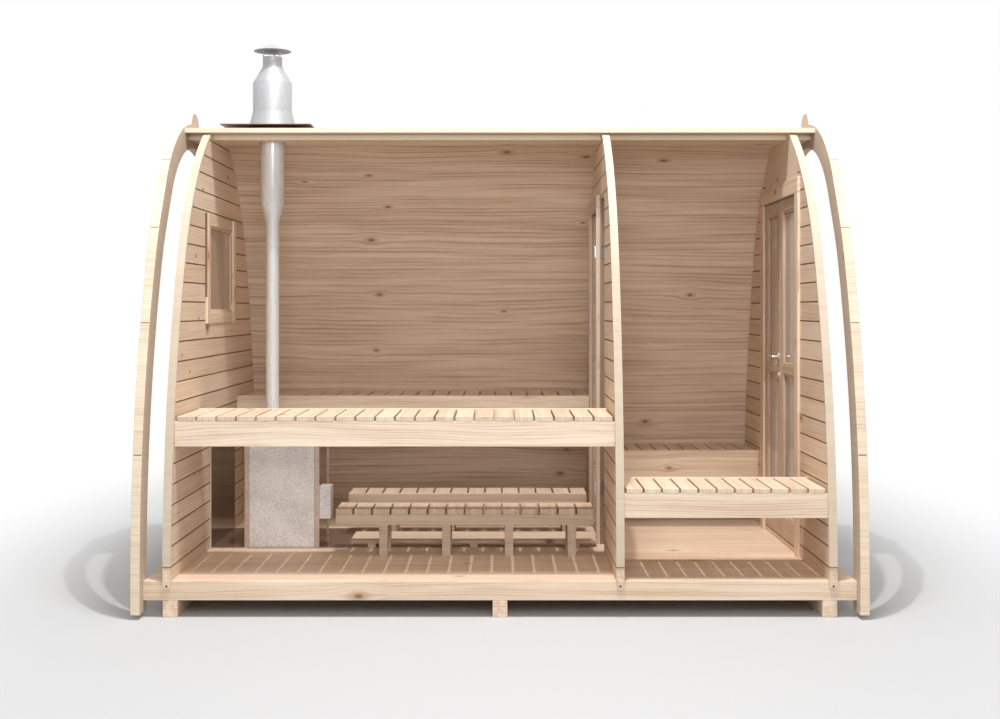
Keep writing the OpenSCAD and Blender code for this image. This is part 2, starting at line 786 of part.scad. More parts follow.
// ---- Benches ----
// Slats about as wide as w between x0 and x1, spread evenly
module slats(x0, x1, y0, y1, top, t = slat_t, w = slat_w) {
    n = ceil((x1 - x0 + slat_gap) / (w + slat_gap));
    pitch = (x1 - x0 + slat_gap) / n;
    color(spruce) for (i = [0:n - 1])
        box(x0 + i * pitch, x0 + i * pitch + pitch - slat_gap, y0, y1, top - t, top);
}

// A board on edge under the outer ends of the slats, and one that covers their inner ends
module bench_boards(x0, x1, outer_y, inner_y, top, h, inner_h, t = slat_t) {
    color(spruce) {
        box(x0, x1, outer_y, outer_y + bearer_t, top - t - h, top - t);
        box(x0, x1, inner_y, inner_y + bearer_t, top - inner_h, top);
    }
}

// Room for the casing of the sauna doorway at the end of the far upper bench
module casing_notch() {
    difference() {
        children();
        box(casing_x - joint, partition_x + 1, 0, sauna_y1 + sauna_casing_w + joint, floor_z, hole_top);
    }
}

upper_top = floor_z + upper_bench_z;
upper_out = side_y(upper_top) - bench_wall_gap;
seat_top = floor_z + low_seat_z;
seat_out = side_y(seat_top) - bench_wall_gap;
seat_in_near = entrance_w / 2 + casing_w + low_seat_near_gap;
seat_in_far = entrance_w / 2 + casing_w + low_seat_far_gap;

module upper_slats(y0, y1) {
    slats(-room_half_len + bench_end_gap, partition_x - bench_end_gap, y0, y1, upper_top);
}
module upper_boards(outer_y, inner_y) {
    bench_boards(-room_half_len, partition_x, outer_y, inner_y, upper_top, upper_bearer_h, upper_fascia_h);
}
module seat_slats(y0, y1) {
    slats(partition_out_x + bench_end_gap, room_half_len - bench_end_gap, y0, y1, seat_top);
}
module seat_boards(outer_y, inner_y) {
    bench_boards(partition_out_x, room_half_len, outer_y, inner_y, seat_top, low_seat_bearer_h, low_seat_fascia_h);
}

module upper_bench_near_slats() { upper_slats(-upper_out, -upper_bench_in_near - bearer_t); }
module upper_bench_boards() {
    upper_boards(-upper_out, -upper_bench_in_near - bearer_t);
    casing_notch() upper_boards(upper_out - bearer_t, upper_bench_in_far);
}
module upper_bench_far_slats() { casing_notch() upper_slats(upper_bench_in_far + bearer_t, upper_out); }
module changing_bench_near_slats() { seat_slats(-seat_out, -seat_in_near - bearer_t); }
module changing_bench_boards() {
    seat_boards(-seat_out, -seat_in_near - bearer_t);
    seat_boards(seat_out - bearer_t, seat_in_far);
}
module changing_bench_far_slats() { seat_slats(seat_in_far + bearer_t, seat_out); }

low_bench_x0 = stove_x1 + side_box_w + low_bench_stove_gap;
low_bench_x1 = partition_x - low_bench_end_gap;

low_near_end = low_bench_near_y + low_bench_depth;
low_far_end = low_bench_far_y + low_bench_depth;

// Boards on edge with a row of legs under each
module low_bench_frame(y, outer_y, inner_y) {
    top = floor_z + low_bench_z;
    leg_top = top - low_slat_t - low_apron_h;
    bench_boards(low_bench_x0, low_bench_x1, outer_y, inner_y, top, low_apron_h, low_fascia_h, low_slat_t);
    span = low_bench_x1 - low_bench_x0 - leg_inset - leg_end_inset;
    color(spruce) for (i = [0:leg_n - 1], leg_y = [y, y + low_bench_depth - leg_w]) {
        x = low_bench_x0 + leg_inset + span * i / (leg_n - 1);
        box(x - leg_w / 2, x + leg_w / 2, leg_y, leg_y + leg_w, floor_z, leg_top);
    }
}

module low_bench_slats(y0, y1) {
    slats(low_bench_x0, low_bench_x1, y0, y1, floor_z + low_bench_z, low_slat_t, low_slat_w);
}

module low_bench_near_slats() { low_bench_slats(low_bench_near_y, low_near_end - bearer_t); }
module low_bench_frames() {
    low_bench_frame(low_bench_near_y, low_bench_near_y, low_near_end - bearer_t);
    low_bench_frame(low_bench_far_y, low_far_end - bearer_t, low_bench_far_y);
}
module low_bench_far_slats() { low_bench_slats(low_bench_far_y + bearer_t, low_far_end); }

// Boards along the ridge on three cross battens
module foot_board() {
    rows = 3;
    x0 = -room_half_len + floor_plate_len + foot_board_plate_gap;
    x1 = casing_x - foot_board_end_gap;
    board = (foot_board_w - (rows - 1) * slat_gap) / rows;
    color(spruce) {
        for (i = [0:rows - 1]) {
            y = foot_board_y + i * (board + slat_gap);
            box(x0, x1, y, y + board,
                floor_z + foot_batten_h, floor_z + foot_batten_h + foot_board_t);
        }
        for (x = [x0 + leg_end_inset, (x0 + x1) / 2, x1 - leg_end_inset])
            box(x - leg_w / 2, x + leg_w / 2, foot_board_y, foot_board_y + foot_board_w,
                floor_z, floor_z + foot_batten_h);
    }
}

// ---- Stove ----

module stove_heat_plates() {
    color([0.10, 0.06, 0.04]) {
        box(-room_half_len + plate_t + joint, -room_half_len + floor_plate_len,
            -stove_front - plate_front, plate_w - stove_front - plate_front, floor_z, stove_z);
        box(-room_half_len, -room_half_len + plate_t,
            -stove_front - plate_front, plate_w - stove_front - plate_front, floor_z, floor_z + wall_plate_h);
    }
}

// Welded body with square corner posts that stand proud of the panels
module stove_body() {
    y0 = -stove_front;
    y1 = y0 + stove_d;
    color(steel) {
        box(stove_x0 + stove_panel_inset, stove_x1 - stove_panel_inset,
            y0 + stove_panel_inset, y1 - stove_panel_inset, stove_z, stove_z + stove_h);
        for (x = [stove_x0, stove_x1 - stove_post], y = [y0, y1 - stove_post])
            box(x, x + stove_post, y, y + stove_post, stove_z, stove_z + stove_h);
    }
}

module stove_side_box() {
    color(steel) box(stove_x1, stove_x1 + side_box_w, -stove_front, -stove_front + side_box_d,
        floor_z + side_box_z, floor_z + side_box_z + side_box_h);
}

// ---- Flue and chimney ----
// A sheet metal skin of revolution along points of radius and height
module sheet_turned(points) {
    inner = [for (p = back(points)) [p[0] - sheet_t, p[1]]];
    translate([flue_x, 0, 0]) rotate_extrude($fn = 96) polygon(concat(points, inner));
}

roof_plate_z = board_top_z + roof_curb_h;
chimney_z = roof_plate_z + roof_plate_t;
body_z = chimney_z + chimney_foot_h;
shoulder_z = body_z + chimney_body_h;
neck_z = shoulder_z + chimney_shoulder_h;
cap_z = neck_z + chimney_neck_h + cap_gap;

module flue_pipe() {
    color(steel) sheet_turned([[flue_r, stove_z + stove_h], [flue_r, floor_z + flue_cone_z],
        [flue_top_r, floor_z + flue_cone_z + flue_cone_h], [flue_top_r, body_z]]);
}

module roof_plate() {
    color([0.42, 0.24, 0.16]) difference() {
        union() {
            box(flue_x - roof_plate_side / 2, flue_x + roof_plate_side / 2,
                -roof_plate_side / 2, roof_plate_side / 2, roof_plate_z, chimney_z);
            translate([flue_x, 0, board_top_z]) cylinder(h = roof_curb_h, r = chimney_foot_r);
        }
        translate([flue_x, 0, board_top_z - 1])
            cylinder(h = roof_curb_h + roof_plate_t + 2, r = flue_top_r + flue_clearance);
    }
}

module chimney() {
    color(steel) sheet_turned([[chimney_foot_r, chimney_z], [chimney_r, body_z], [chimney_r, shoulder_z],
        [chimney_neck_r, neck_z], [chimney_neck_r, neck_z + chimney_neck_h]]);
}

cap_leg_n = 3;
cap_leg_r = 3;

module chimney_cap() {
    color(steel) {
        translate([flue_x, 0, cap_z]) cylinder(h = cap_h, r1 = cap_r, r2 = 0, $fn = 96);
        for (i = [0:cap_leg_n - 1]) {
            a = 90 + i * 360 / cap_leg_n;
            leg_ring = chimney_neck_r - sheet_t / 2;
            translate([flue_x + leg_ring * cos(a), leg_ring * sin(a), neck_z + chimney_neck_h])
                cylinder(h = cap_gap + 5, r = cap_leg_r);
        }
    }
}

sleepers();
floor_joists();
floor_edge_boards();
floor_deck();
window_wall();
window_casing();
window_glass();
partition_sides();
partition_top();
sauna_door_frame();
sauna_side_panel();
entrance_wall_sides();
entrance_wall_top();
entrance_casing();
entrance_sill();
far_wall();
far_roof();
ridge_board();
ridge_beam();
arch_left();
arch_right();
upper_bench_near_slats();
upper_bench_far_slats();
upper_bench_boards();
changing_bench_near_slats();
changing_bench_far_slats();
changing_bench_boards();
low_bench_near_slats();
low_bench_far_slats();
low_bench_frames();
foot_board();
stove_heat_plates();
stove_body();
stove_side_box();
flue_pipe();
roof_plate();
chimney();
chimney_cap();
entrance_leaf_near_frame();
entrance_leaf_near_glass();
entrance_leaf_near_fittings();
entrance_leaf_far_frame();
entrance_leaf_far_glass();
entrance_leaf_far_fittings();
sauna_door_glass();
sauna_door_fittings();
sauna_door_hinges();
entrance_hinges();
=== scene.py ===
import math
import random

import bmesh
import bpy
from mathutils import Matrix, Vector


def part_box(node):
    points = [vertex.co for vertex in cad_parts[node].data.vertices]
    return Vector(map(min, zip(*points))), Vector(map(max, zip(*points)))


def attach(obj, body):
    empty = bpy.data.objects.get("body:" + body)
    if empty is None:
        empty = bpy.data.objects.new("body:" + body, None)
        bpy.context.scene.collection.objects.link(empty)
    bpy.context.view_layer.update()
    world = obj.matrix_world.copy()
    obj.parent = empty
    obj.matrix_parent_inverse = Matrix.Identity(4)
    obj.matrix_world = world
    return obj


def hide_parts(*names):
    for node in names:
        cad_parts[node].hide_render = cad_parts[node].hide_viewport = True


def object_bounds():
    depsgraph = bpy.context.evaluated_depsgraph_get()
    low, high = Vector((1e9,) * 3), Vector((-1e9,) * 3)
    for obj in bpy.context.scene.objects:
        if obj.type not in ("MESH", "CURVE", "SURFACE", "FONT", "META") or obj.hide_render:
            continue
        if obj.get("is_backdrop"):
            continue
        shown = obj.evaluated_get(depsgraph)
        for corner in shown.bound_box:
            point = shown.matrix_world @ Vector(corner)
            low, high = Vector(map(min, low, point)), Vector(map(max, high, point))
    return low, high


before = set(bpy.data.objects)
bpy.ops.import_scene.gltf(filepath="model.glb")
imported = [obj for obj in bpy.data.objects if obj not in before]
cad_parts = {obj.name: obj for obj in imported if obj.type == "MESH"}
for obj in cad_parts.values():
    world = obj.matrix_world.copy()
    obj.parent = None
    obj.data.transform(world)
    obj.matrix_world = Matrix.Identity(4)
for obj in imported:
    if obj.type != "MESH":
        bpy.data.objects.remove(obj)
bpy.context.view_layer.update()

# ---- Camera ----
# A level camera straight in front of the open side, at standing eye height, with the lens
# shifted down a little so that the ridge and the ground both stay in view.
camera_data = bpy.data.cameras.new("camera")
camera_data.lens = 50
camera_data.sensor_width = 36
camera_data.shift_y = -0.0505
camera = bpy.data.objects.new("camera", camera_data)
camera.location = (0, -7.650, 1.449)
camera.rotation_euler = (math.radians(90), 0, 0)
bpy.context.scene.collection.objects.link(camera)
bpy.context.scene.camera = camera


# ---- Sleepers and joists ----
# Three sawn spruce sleepers across the pod carry five joists that run along it.
# Every timber piece is cut from its place in the frame, and its edges are eased.
def node_adder(tree):
    """A short way to add a node to a tree, with its settings and what feeds its sockets."""

    def add(kind, feeds=None, **settings):
        made = tree.nodes.new("ShaderNode" + kind)
        for key, value in settings.items():
            setattr(made, key, value)
        for socket, value in (feeds or {}).items():
            if isinstance(value, bpy.types.NodeSocket):
                tree.links.new(value, made.inputs[socket])
            else:
                made.inputs[socket].default_value = value
        return made

    return add


def blank_material(name):
    """A new material, with ways to add and join nodes, and its shader."""
    material = bpy.data.materials.new(name)
    material.use_nodes = True
    tree = material.node_tree
    return material, node_adder(tree), tree.nodes["Principled BSDF"], tree.links


def spruce(name, pale, warm, spread=1.0, knots=1.0, line=0.020, strength=1.0, waves=1.0):
    """Planed spruce: year lines that part round small knots, fine fibres, a tone for each board.

    The year lines lie line metres apart. The values spread, knots, strength and waves are
    times the usual: the tone between boards, the number of knots, and how dark and how
    wandering the year lines are.
    """
    material, add, shader, links = blank_material(name)
    grain = add("Attribute", attribute_name="grain").outputs["Vector"]
    tone = add("Attribute", attribute_name="tone").outputs["Fac"]

    def scaled(place, scale):
        return add("Mapping", {"Vector": place, "Scale": scale}).outputs["Vector"]

    def noise(place, scale, detail=2.0, roughness=0.5):
        feeds = {"Vector": scaled(place, scale), "Scale": 1.0, "Detail": detail,
                 "Roughness": roughness}
        return add("TexNoise", feeds).outputs["Fac"]

    def ramp(value, low, high, start=0.0, end=1.0, smooth=False):
        feeds = {"Value": value, "From Min": start, "From Max": end, "To Min": low, "To Max": high}
        kind = "SMOOTHSTEP" if smooth else "LINEAR"
        return add("MapRange", feeds, interpolation_type=kind).outputs["Result"]

    def maths(operation, first, second):
        return add("Math", {0: first, 1: second}, operation=operation).outputs[0]

    def vectors(operation, first, second):
        return add("VectorMath", {0: first, 1: second}, operation=operation).outputs["Vector"]

    def mix(amount, first, second):
        return add("Mix", {0: amount, 6: first, 7: second}, data_type="RGBA").outputs[2]

    # one cell in three may have a knot, and every knot has a size of its own
    cells_along, cells_across, knot_share = 1.7, 3.4, 0.36
    spots = scaled(grain, (cells_along, cells_across, 0))
    cell = add("TexVoronoi", {"Vector": spots, "Scale": 1.0}, voronoi_dimensions="2D").outputs
    chance = add("SeparateColor", {"Color": cell["Color"]}).outputs
    has_knot = maths("GREATER_THAN", chance[0], 1 - knot_share * knots)
    away = maths("DIVIDE", cell["Distance"], ramp(chance[1], 0.55, 1.35))

    # the year lines give way on both sides of a knot, and wander a little everywhere
    offset = vectors("SUBTRACT", spots, cell["Position"])
    offset = add("SeparateXYZ", {"Vector": offset}).outputs["Y"]
    pull = maths("MULTIPLY", ramp(away, 0.93, 0.0, 0.02, 0.24, True), has_knot)
    parting = maths("MULTIPLY", maths("MULTIPLY", offset, pull), -1 / cells_across)
    long_waves = ramp(noise(grain, (0.7, 2.2, 2.2)), -0.05 * waves, 0.05 * waves)
    short_waves = ramp(noise(grain, (3.0, 9, 9)), -0.008 * waves, 0.008 * waves)
    wander = maths("ADD", long_waves, short_waves)
    shift = add("CombineXYZ", {"Y": maths("ADD", parting, wander)}).outputs["Vector"]
    flowing = vectors("ADD", grain, shift)
    saw = {"Vector": scaled(flowing, (0.08, 1.0, 0.5)), "Scale": math.tau / 20 / line,
           "Distortion": 2.0 * waves, "Detail": 2.0, "Detail Scale": 0.5,
           "Detail Roughness": 0.5}
    years = add("TexWave", saw, wave_type="BANDS", bands_direction="Y",
                wave_profile="SAW").outputs["Fac"]

    # late wood, broad bands, fibres, clouds and the board's own tone add up to the warm share
    late = ramp(years, 0.0, 1.0, 0.35, 1.0, True)
    bands = noise(flowing, (1.1, 40, 40), 3.0, 0.55)
    fibre = noise(grain, (9, 330, 330), 3.0, 0.6)
    cloud = noise(grain, (1.1, 5, 5))
    lines = maths("MULTIPLY", late, ramp(bands, 0.0, 1.3, 0.35, 0.68))
    share = maths("MULTIPLY", lines, 0.5 * strength)
    for part in (ramp(bands, -0.14 * strength, 0.32 * strength, 0.3, 0.7),
                 ramp(fibre, -0.10, 0.24, 0.3, 0.75), ramp(cloud, -0.12, 0.20, 0.3, 0.7),
                 ramp(tone, -0.12 * spread, 0.24 * spread)):
        share = maths("ADD", share, part)

    # a knot has a brown rim and a darker heart
    rim_brown, heart_brown = (0.42, 0.25, 0.14, 1), (0.20, 0.11, 0.06, 1)
    rim = maths("MULTIPLY", ramp(away, 0.55, 0.0, 0.03, 0.10, True), has_knot)
    heart = maths("MULTIPLY", ramp(away, 0.9, 0.0, 0.014, 0.036), has_knot)
    clear = mix(share, (*pale, 1), (*warm, 1))
    links.new(mix(heart, mix(rim, clear, rim_brown), heart_brown), shader.inputs["Base Color"])
    relief = {"Height": maths("SUBTRACT", fibre, late), "Strength": 0.18, "Distance": 0.0008}
    links.new(add("Bump", relief).outputs["Normal"], shader.inputs["Normal"])
    links.new(ramp(fibre, 0.48, 0.66), shader.inputs["Roughness"])
    return material


def cad_copy(node):
    """A copy of a CAD piece with its loose triangles joined and its flat faces made whole."""
    join_within, flat_within = 0.00002, 0.004
    bm = bmesh.new()
    bm.from_mesh(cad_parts[node].data)
    bmesh.ops.remove_doubles(bm, verts=bm.verts, dist=join_within)
    bmesh.ops.dissolve_limit(bm, angle_limit=flat_within, verts=bm.verts, edges=bm.edges)
    return bm


def islands(bm):
    """The separate solids of a mesh, as lists of corners, in the order of where they lie."""
    left, found = set(bm.verts), []
    while left:
        stack, solid = [left.pop()], []
        while stack:
            corner = stack.pop()
            solid.append(corner)
            for edge in corner.link_edges:
                other = edge.other_vert(corner)
                if other in left:
                    left.remove(other)
                    stack.append(other)
        found.append(solid)
    return sorted(found, key=lambda s: [round(min(v.co[i] for v in s), 4) for i in range(3)])


def bevel(bm, edges, width, steps):
    """Bevels edges by a width; the new faces are returned."""
    return bmesh.ops.bevel(bm, geom=edges, offset=width, offset_type="OFFSET", affect="EDGES",
                           segments=steps, profile=0.5, material=-1, clamp_overlap=True)["faces"]


def ease(bm, width, steps=2):
    """Rounds the sharp edges a little, as planed boards have them."""
    sharp = math.radians(35)
    edges = [e for e in bm.edges if len(e.link_faces) == 2 and e.calc_face_angle(0) > sharp]
    if width:
        bevel(bm, edges, width, steps)


def write_grain(bm, seed, along=None, follow=None):
    """Gives each board its own stretch of grain along its length, and its own tone."""
    dice = random.Random(seed)
    grain = bm.verts.layers.float_vector.new("grain")
    tone = bm.verts.layers.float.new("tone")
    for solid in islands(bm):
        size = [max(v.co[i] for v in solid) - min(v.co[i] for v in solid) for i in range(3)]
        order = sorted(range(3), key=lambda i: -size[i])
        if along is not None:
            order = [along] + [i for i in order if i != along]
        start = Vector((dice.uniform(0, 40), dice.uniform(0, 20), dice.uniform(0, 5)))
        shade = dice.random()
        for corner in solid:
            place = follow(corner.co) if follow else [corner.co[i] for i in order]
            corner[grain] = start + Vector(place)
            corner[tone] = shade


def finish_piece(bm, name, body, materials, stands_for=(), smooth=20):
    """Makes the mesh a named piece that rides on its body."""
    mesh = bpy.data.meshes.new(name)
    bmesh.ops.recalc_face_normals(bm, faces=bm.faces)
    bm.to_mesh(mesh)
    bm.free()
    mesh.polygons.foreach_set("use_smooth", [True] * len(mesh.polygons))
    mesh.set_sharp_from_angle(angle=math.radians(smooth))
    for material in materials:
        mesh.materials.append(material)
    piece = bpy.data.objects.new(name, mesh)
    bpy.context.scene.collection.objects.link(piece)
    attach(piece, body)
    if stands_for:
        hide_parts(*stands_for)


def timber_piece(node, material, seed, width=0.002, along=None):
    """One or more boards just as the frame has them, with eased edges and grain."""
    bm = cad_copy(node)
    ease(bm, width)
    write_grain(bm, seed, along)
    finish_piece(bm, node + "_wood", "pod", [material], [node])


frame_spruce = spruce("frame_spruce", (0.86, 0.69, 0.53), (0.60, 0.42, 0.28),
                      knots=1.5, line=0.013, strength=1.25)
timber_piece("sleepers", frame_spruce, 11, width=0.003)
timber_piece("floor_joists", frame_spruce, 12, width=0.003)

# ---- Floor ----
# Glued spruce panels on the joists, closed along both sides by an edge board
# that stands level with the deck.
panel_spruce = spruce("panel_spruce", (0.84, 0.67, 0.51), (0.60, 0.41, 0.27), line=0.024)
timber_piece("floor_edge_boards", frame_spruce, 13, width=0.003)
timber_piece("floor_deck", panel_spruce, 14, width=0.001, along=0)

# ---- Upright walls ----
# Tongued and grooved boards laid level, 96 mm apart, with a V where two of them meet.
# The lowest board has a round tongue that is screwed to the edge of the floor.
BOARD_PITCH, FIRST_JOINT, GROOVE = 0.096, 0.2365, 0.0034
CUT_WITHIN = 0.00001
wall_spruce = spruce("wall_spruce", (0.80, 0.63, 0.48), (0.56, 0.39, 0.26),
                     spread=1.1, strength=0.7, waves=0.7)
# Near-black wood for the faces of the V-grooves and the other fine joints: painted shade, standing
# for the shadow down in each recess.
painted_groove_shade = spruce("painted_groove_shade", (0.20, 0.11, 0.06), (0.12, 0.06, 0.03))


def cut_beyond(bm, point, outwards):
    """Cuts off what lies beyond a plane and closes the cut."""
    everything = bm.verts[:] + bm.edges[:] + bm.faces[:]
    cut = bmesh.ops.bisect_plane(bm, geom=everything, dist=CUT_WITHIN, plane_co=point,
                                 plane_no=outwards, clear_outer=True)["geom_cut"]
    edges = [e for e in cut if isinstance(e, bmesh.types.BMEdge)]
    bmesh.ops.holes_fill(bm, edges=edges, sides=0)


def cut_level(bm, bottom, top):
    """Cuts the mesh level at a bottom and a top; None leaves that end as it is."""
    for level, outwards in ((bottom, -1), (top, 1)):
        if level is not None:
            cut_beyond(bm, Vector((0, 0, level)), Vector((0, 0, outwards)))
    return bm


def join_into(target, bm):
    """Adds a mesh to another one."""
    carrier = bpy.data.meshes.new("carrier")
    bm.to_mesh(carrier)
    bm.free()
    target.from_mesh(carrier)
    bpy.data.meshes.remove(carrier)


def wall_of_boards(node, seed, grooved=True):
    """Cuts a wall from the frame into its boards and opens a V along every joint."""
    low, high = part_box(node)
    least_below, least_above = 0.005, 0.010
    joints, level = [], FIRST_JOINT
    while grooved and level < high.z - least_above:
        if level > low.z + least_below:
            joints.append(level)
        level += BOARD_PITCH
    made = bmesh.new()
    for ends in zip([None] + joints, joints + [None]):
        bm = cut_level(cad_copy(node), *ends)
        at_joint = {v for v in bm.verts for z in ends if z is not None and abs(v.co.z - z) < 1e-4}
        edges = [e for e in bm.edges if len(e.link_faces) == 2 and e.calc_face_angle(0) > 1.0
                 and at_joint.issuperset(e.verts)
                 and abs(e.verts[0].co.x - e.verts[1].co.x) < 1e-5]
        # the faces of each V take the near-black wood as painted shade in the groove
        for face in bevel(bm, edges, GROOVE, 1):
            face.material_index = 1
        join_into(made, bm)
    write_grain(made, seed, along=1)
    finish_piece(made, node + "_boards", "pod", [wall_spruce, painted_groove_shade], [node])


wall_of_boards("window_wall", 21)
wall_of_boards("partition_sides", 22)
wall_of_boards("partition_top", 23)
wall_of_boards("entrance_wall_sides", 24)
wall_of_boards("entrance_wall_top", 25, grooved=False)


# The near ends of the wall boards are covered by a bent strip of spruce that follows
# the curve from the lowest joint up to the ridge.
def leaning(turn):
    """The direction straight outwards, turned up by an angle."""
    return Vector((0, math.cos(turn), math.sin(turn)))


SHELL = 0.038
HALF_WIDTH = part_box("far_wall")[1].y - SHELL
FLOOR_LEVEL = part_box("floor_deck")[1].z
SIDE_RADIUS, SIDE_RISE, SHOULDER_RADIUS = 4.0, 1.53, 1.4
SIDE_TURN = math.asin(SIDE_RISE / SIDE_RADIUS)
SIDE_LENGTH = SIDE_RADIUS * SIDE_TURN
SIDE_CENTRE = Vector((0, HALF_WIDTH - SIDE_RADIUS, FLOOR_LEVEL))
SHOULDER_CENTRE = SIDE_CENTRE + (SIDE_RADIUS - SHOULDER_RADIUS) * leaning(SIDE_TURN)
STRIP_TOP, STRIP_THICKNESS, STRIP_PROUD = 2.364, 0.014, 0.0004
edge_spruce = spruce("edge_spruce", (0.68, 0.56, 0.43), (0.54, 0.42, 0.30),
                     line=0.012, knots=0.0, strength=0.6)


def round_the_body(point):
    """Where a point lies: length round from the floor, distance outwards, place along the ridge."""
    y, z = abs(point.y), point.z
    if z < FLOOR_LEVEL:
        return Vector((z - FLOOR_LEVEL, y - HALF_WIDTH, point.x))
    turn = math.atan2(z - SIDE_CENTRE.z, y - SIDE_CENTRE.y)
    if turn < SIDE_TURN:
        reach = math.hypot(y - SIDE_CENTRE.y, z - SIDE_CENTRE.z)
        return Vector((SIDE_RADIUS * turn, reach - SIDE_RADIUS, point.x))
    turn = math.atan2(z - SHOULDER_CENTRE.z, y - SHOULDER_CENTRE.y)
    reach = math.hypot(y - SHOULDER_CENTRE.y, z - SHOULDER_CENTRE.z)
    length = SIDE_LENGTH + SHOULDER_RADIUS * (turn - SIDE_TURN)
    return Vector((length, reach - SHOULDER_RADIUS, point.x))


def on_near_edge(face):
    """Whether a wall's face is part of its curved near edge, and not a side or a level cut."""
    middle, normal = face.calc_center_median(), face.normal
    on_curve = middle.y <= 0 and abs(round_the_body(middle).y) <= 0.004
    return on_curve and abs(normal.x) <= 0.3 and abs(normal.z) <= 0.9999


def strip_along_edge(node, name, seed):
    """The faces of a wall's curved near edge, given a thickness of their own."""
    bm = cut_level(cad_copy(node), FIRST_JOINT, STRIP_TOP)
    others = [f for f in bm.faces if not on_near_edge(f)]
    bmesh.ops.delete(bm, geom=others, context="FACES")
    bmesh.ops.recalc_face_normals(bm, faces=bm.faces)
    middle = sum(v.co.x for v in bm.verts) / len(bm.verts)
    for corner in bm.verts:
        corner.co.x += math.copysign(STRIP_PROUD, corner.co.x - middle)
        corner.co.y -= STRIP_PROUD
    bmesh.ops.solidify(bm, geom=bm.faces[:], thickness=STRIP_THICKNESS)
    write_grain(bm, seed, follow=lambda p: (p.x, round_the_body(p).x, 0.3 * round_the_body(p).y))
    finish_piece(bm, name, "pod", [edge_spruce])


strip_along_edge("window_wall", "window_wall_edge", 31)
strip_along_edge("partition_sides", "partition_edge", 32)
strip_along_edge("entrance_wall_sides", "entrance_wall_edge", 33)

# A thin near-black board is a painted shadow in the fine joint between each strip and the round
# tongue below it, and countersunk screws hold the tongues to the floor's edge boards.
JOINT_WIDER, JOINT_PROUD, JOINT_DEPTH, JOINT_HALF = 0.0006, 0.0008, 0.016, 0.002
SCREW_LEVEL, SCREW_RADIUS, SCREW_DEPTH, SCREW_PROUD = 0.148, 0.006, 0.0012, 0.0003


def board(bm, low, high, width=0.0015):
    """A plain board between two corners, with eased edges."""
    low, high = Vector(low), Vector(high)
    shape = Matrix.Translation((low + high) / 2) @ Matrix.Diagonal((*(high - low), 1))
    part = bmesh.new()
    bmesh.ops.create_cube(part, size=1.0, matrix=shape)
    ease(part, width)
    join_into(bm, part)


def paint(add, shader, links, pattern, first, second, rough=None):
    """Colours a material from one tone to another by a pattern, and its roughness with it."""
    tones = {0: pattern, 6: (*first, 1), 7: (*second, 1)}
    links.new(add("Mix", tones, data_type="RGBA").outputs[2], shader.inputs["Base Color"])
    if rough:
        levels = {"Value": pattern, "To Min": rough[0], "To Max": rough[1]}
        links.new(add("MapRange", levels).outputs["Result"], shader.inputs["Roughness"])


def clouded(name, first, second, rough, detail, scale=1.0, stretch=None, metallic=0.0):
    """A finish that wavers between two tones; rough is one value, or a low and a high one."""
    material, add, shader, links = blank_material(name)
    place = add("TexCoord").outputs["Object"]
    if stretch:
        place = add("Mapping", {"Vector": place, "Scale": stretch}).outputs["Vector"]
    cloud = add("TexNoise", {"Vector": place, "Scale": scale, "Detail": detail}).outputs["Fac"]
    if isinstance(rough, float):
        shader.inputs["Roughness"].default_value = rough
        paint(add, shader, links, cloud, first, second)
    else:
        paint(add, shader, links, cloud, first, second, rough)
    shader.inputs["Metallic"].default_value = metallic
    return material


screw_metal = clouded("screw_metal", (0.20, 0.15, 0.12), (0.09, 0.06, 0.05),
                      rough=0.35, detail=3.0, scale=420.0, metallic=1.0)
strip_joint_shadows, screws = bmesh.new(), bmesh.new()
for wall in ("window_wall", "partition_sides", "entrance_wall_sides"):
    low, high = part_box(wall)
    board(strip_joint_shadows,
          (low.x - JOINT_WIDER, -HALF_WIDTH - JOINT_PROUD, FIRST_JOINT - JOINT_HALF),
          (high.x + JOINT_WIDER, -HALF_WIDTH + JOINT_DEPTH, FIRST_JOINT + JOINT_HALF), 0)
    for side, edge in ((-1, low.y), (1, high.y)):
        place = Vector(((low.x + high.x) / 2, edge + SCREW_PROUD * side, SCREW_LEVEL))
        turn = Vector((0, side, 0)).to_track_quat("Z", "Y").to_matrix().to_4x4()
        bmesh.ops.create_cone(screws, cap_ends=True, segments=16, radius1=SCREW_RADIUS,
                              radius2=0.7 * SCREW_RADIUS, depth=SCREW_DEPTH,
                              matrix=Matrix.Translation(place) @ turn)
write_grain(strip_joint_shadows, 34)
finish_piece(strip_joint_shadows, "strip_joint_shadows", "pod", [painted_groove_shade])
finish_piece(screws, "tongue_screws", "pod", [screw_metal], smooth=30)

# ---- Curved back wall and roof ----
# Inside, wide glued spruce panels bent to the curve with no open joints. Outside, narrow
# boards laid level over them, up to the ridge board.
LINING = 0.012
CLADDING = SHELL - LINING
CLADDING_IN, BOARD_GAP, RIDGE_CLEARANCE = 0.0006, 0.0005, 0.012
SIDE_BOARDS, ROOF_BOARDS = 17, 16
lining_spruce = spruce("lining_spruce", (0.80, 0.64, 0.50), (0.50, 0.34, 0.23),
                       knots=1.5, line=0.024, spread=0.3, strength=1.2, waves=0.9)
shell_low, shell_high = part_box("far_wall")
roof_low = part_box("far_roof")[0]
shoulder_turn = math.acos((roof_low.y - SHOULDER_CENTRE.y) / SHOULDER_RADIUS) - SIDE_TURN

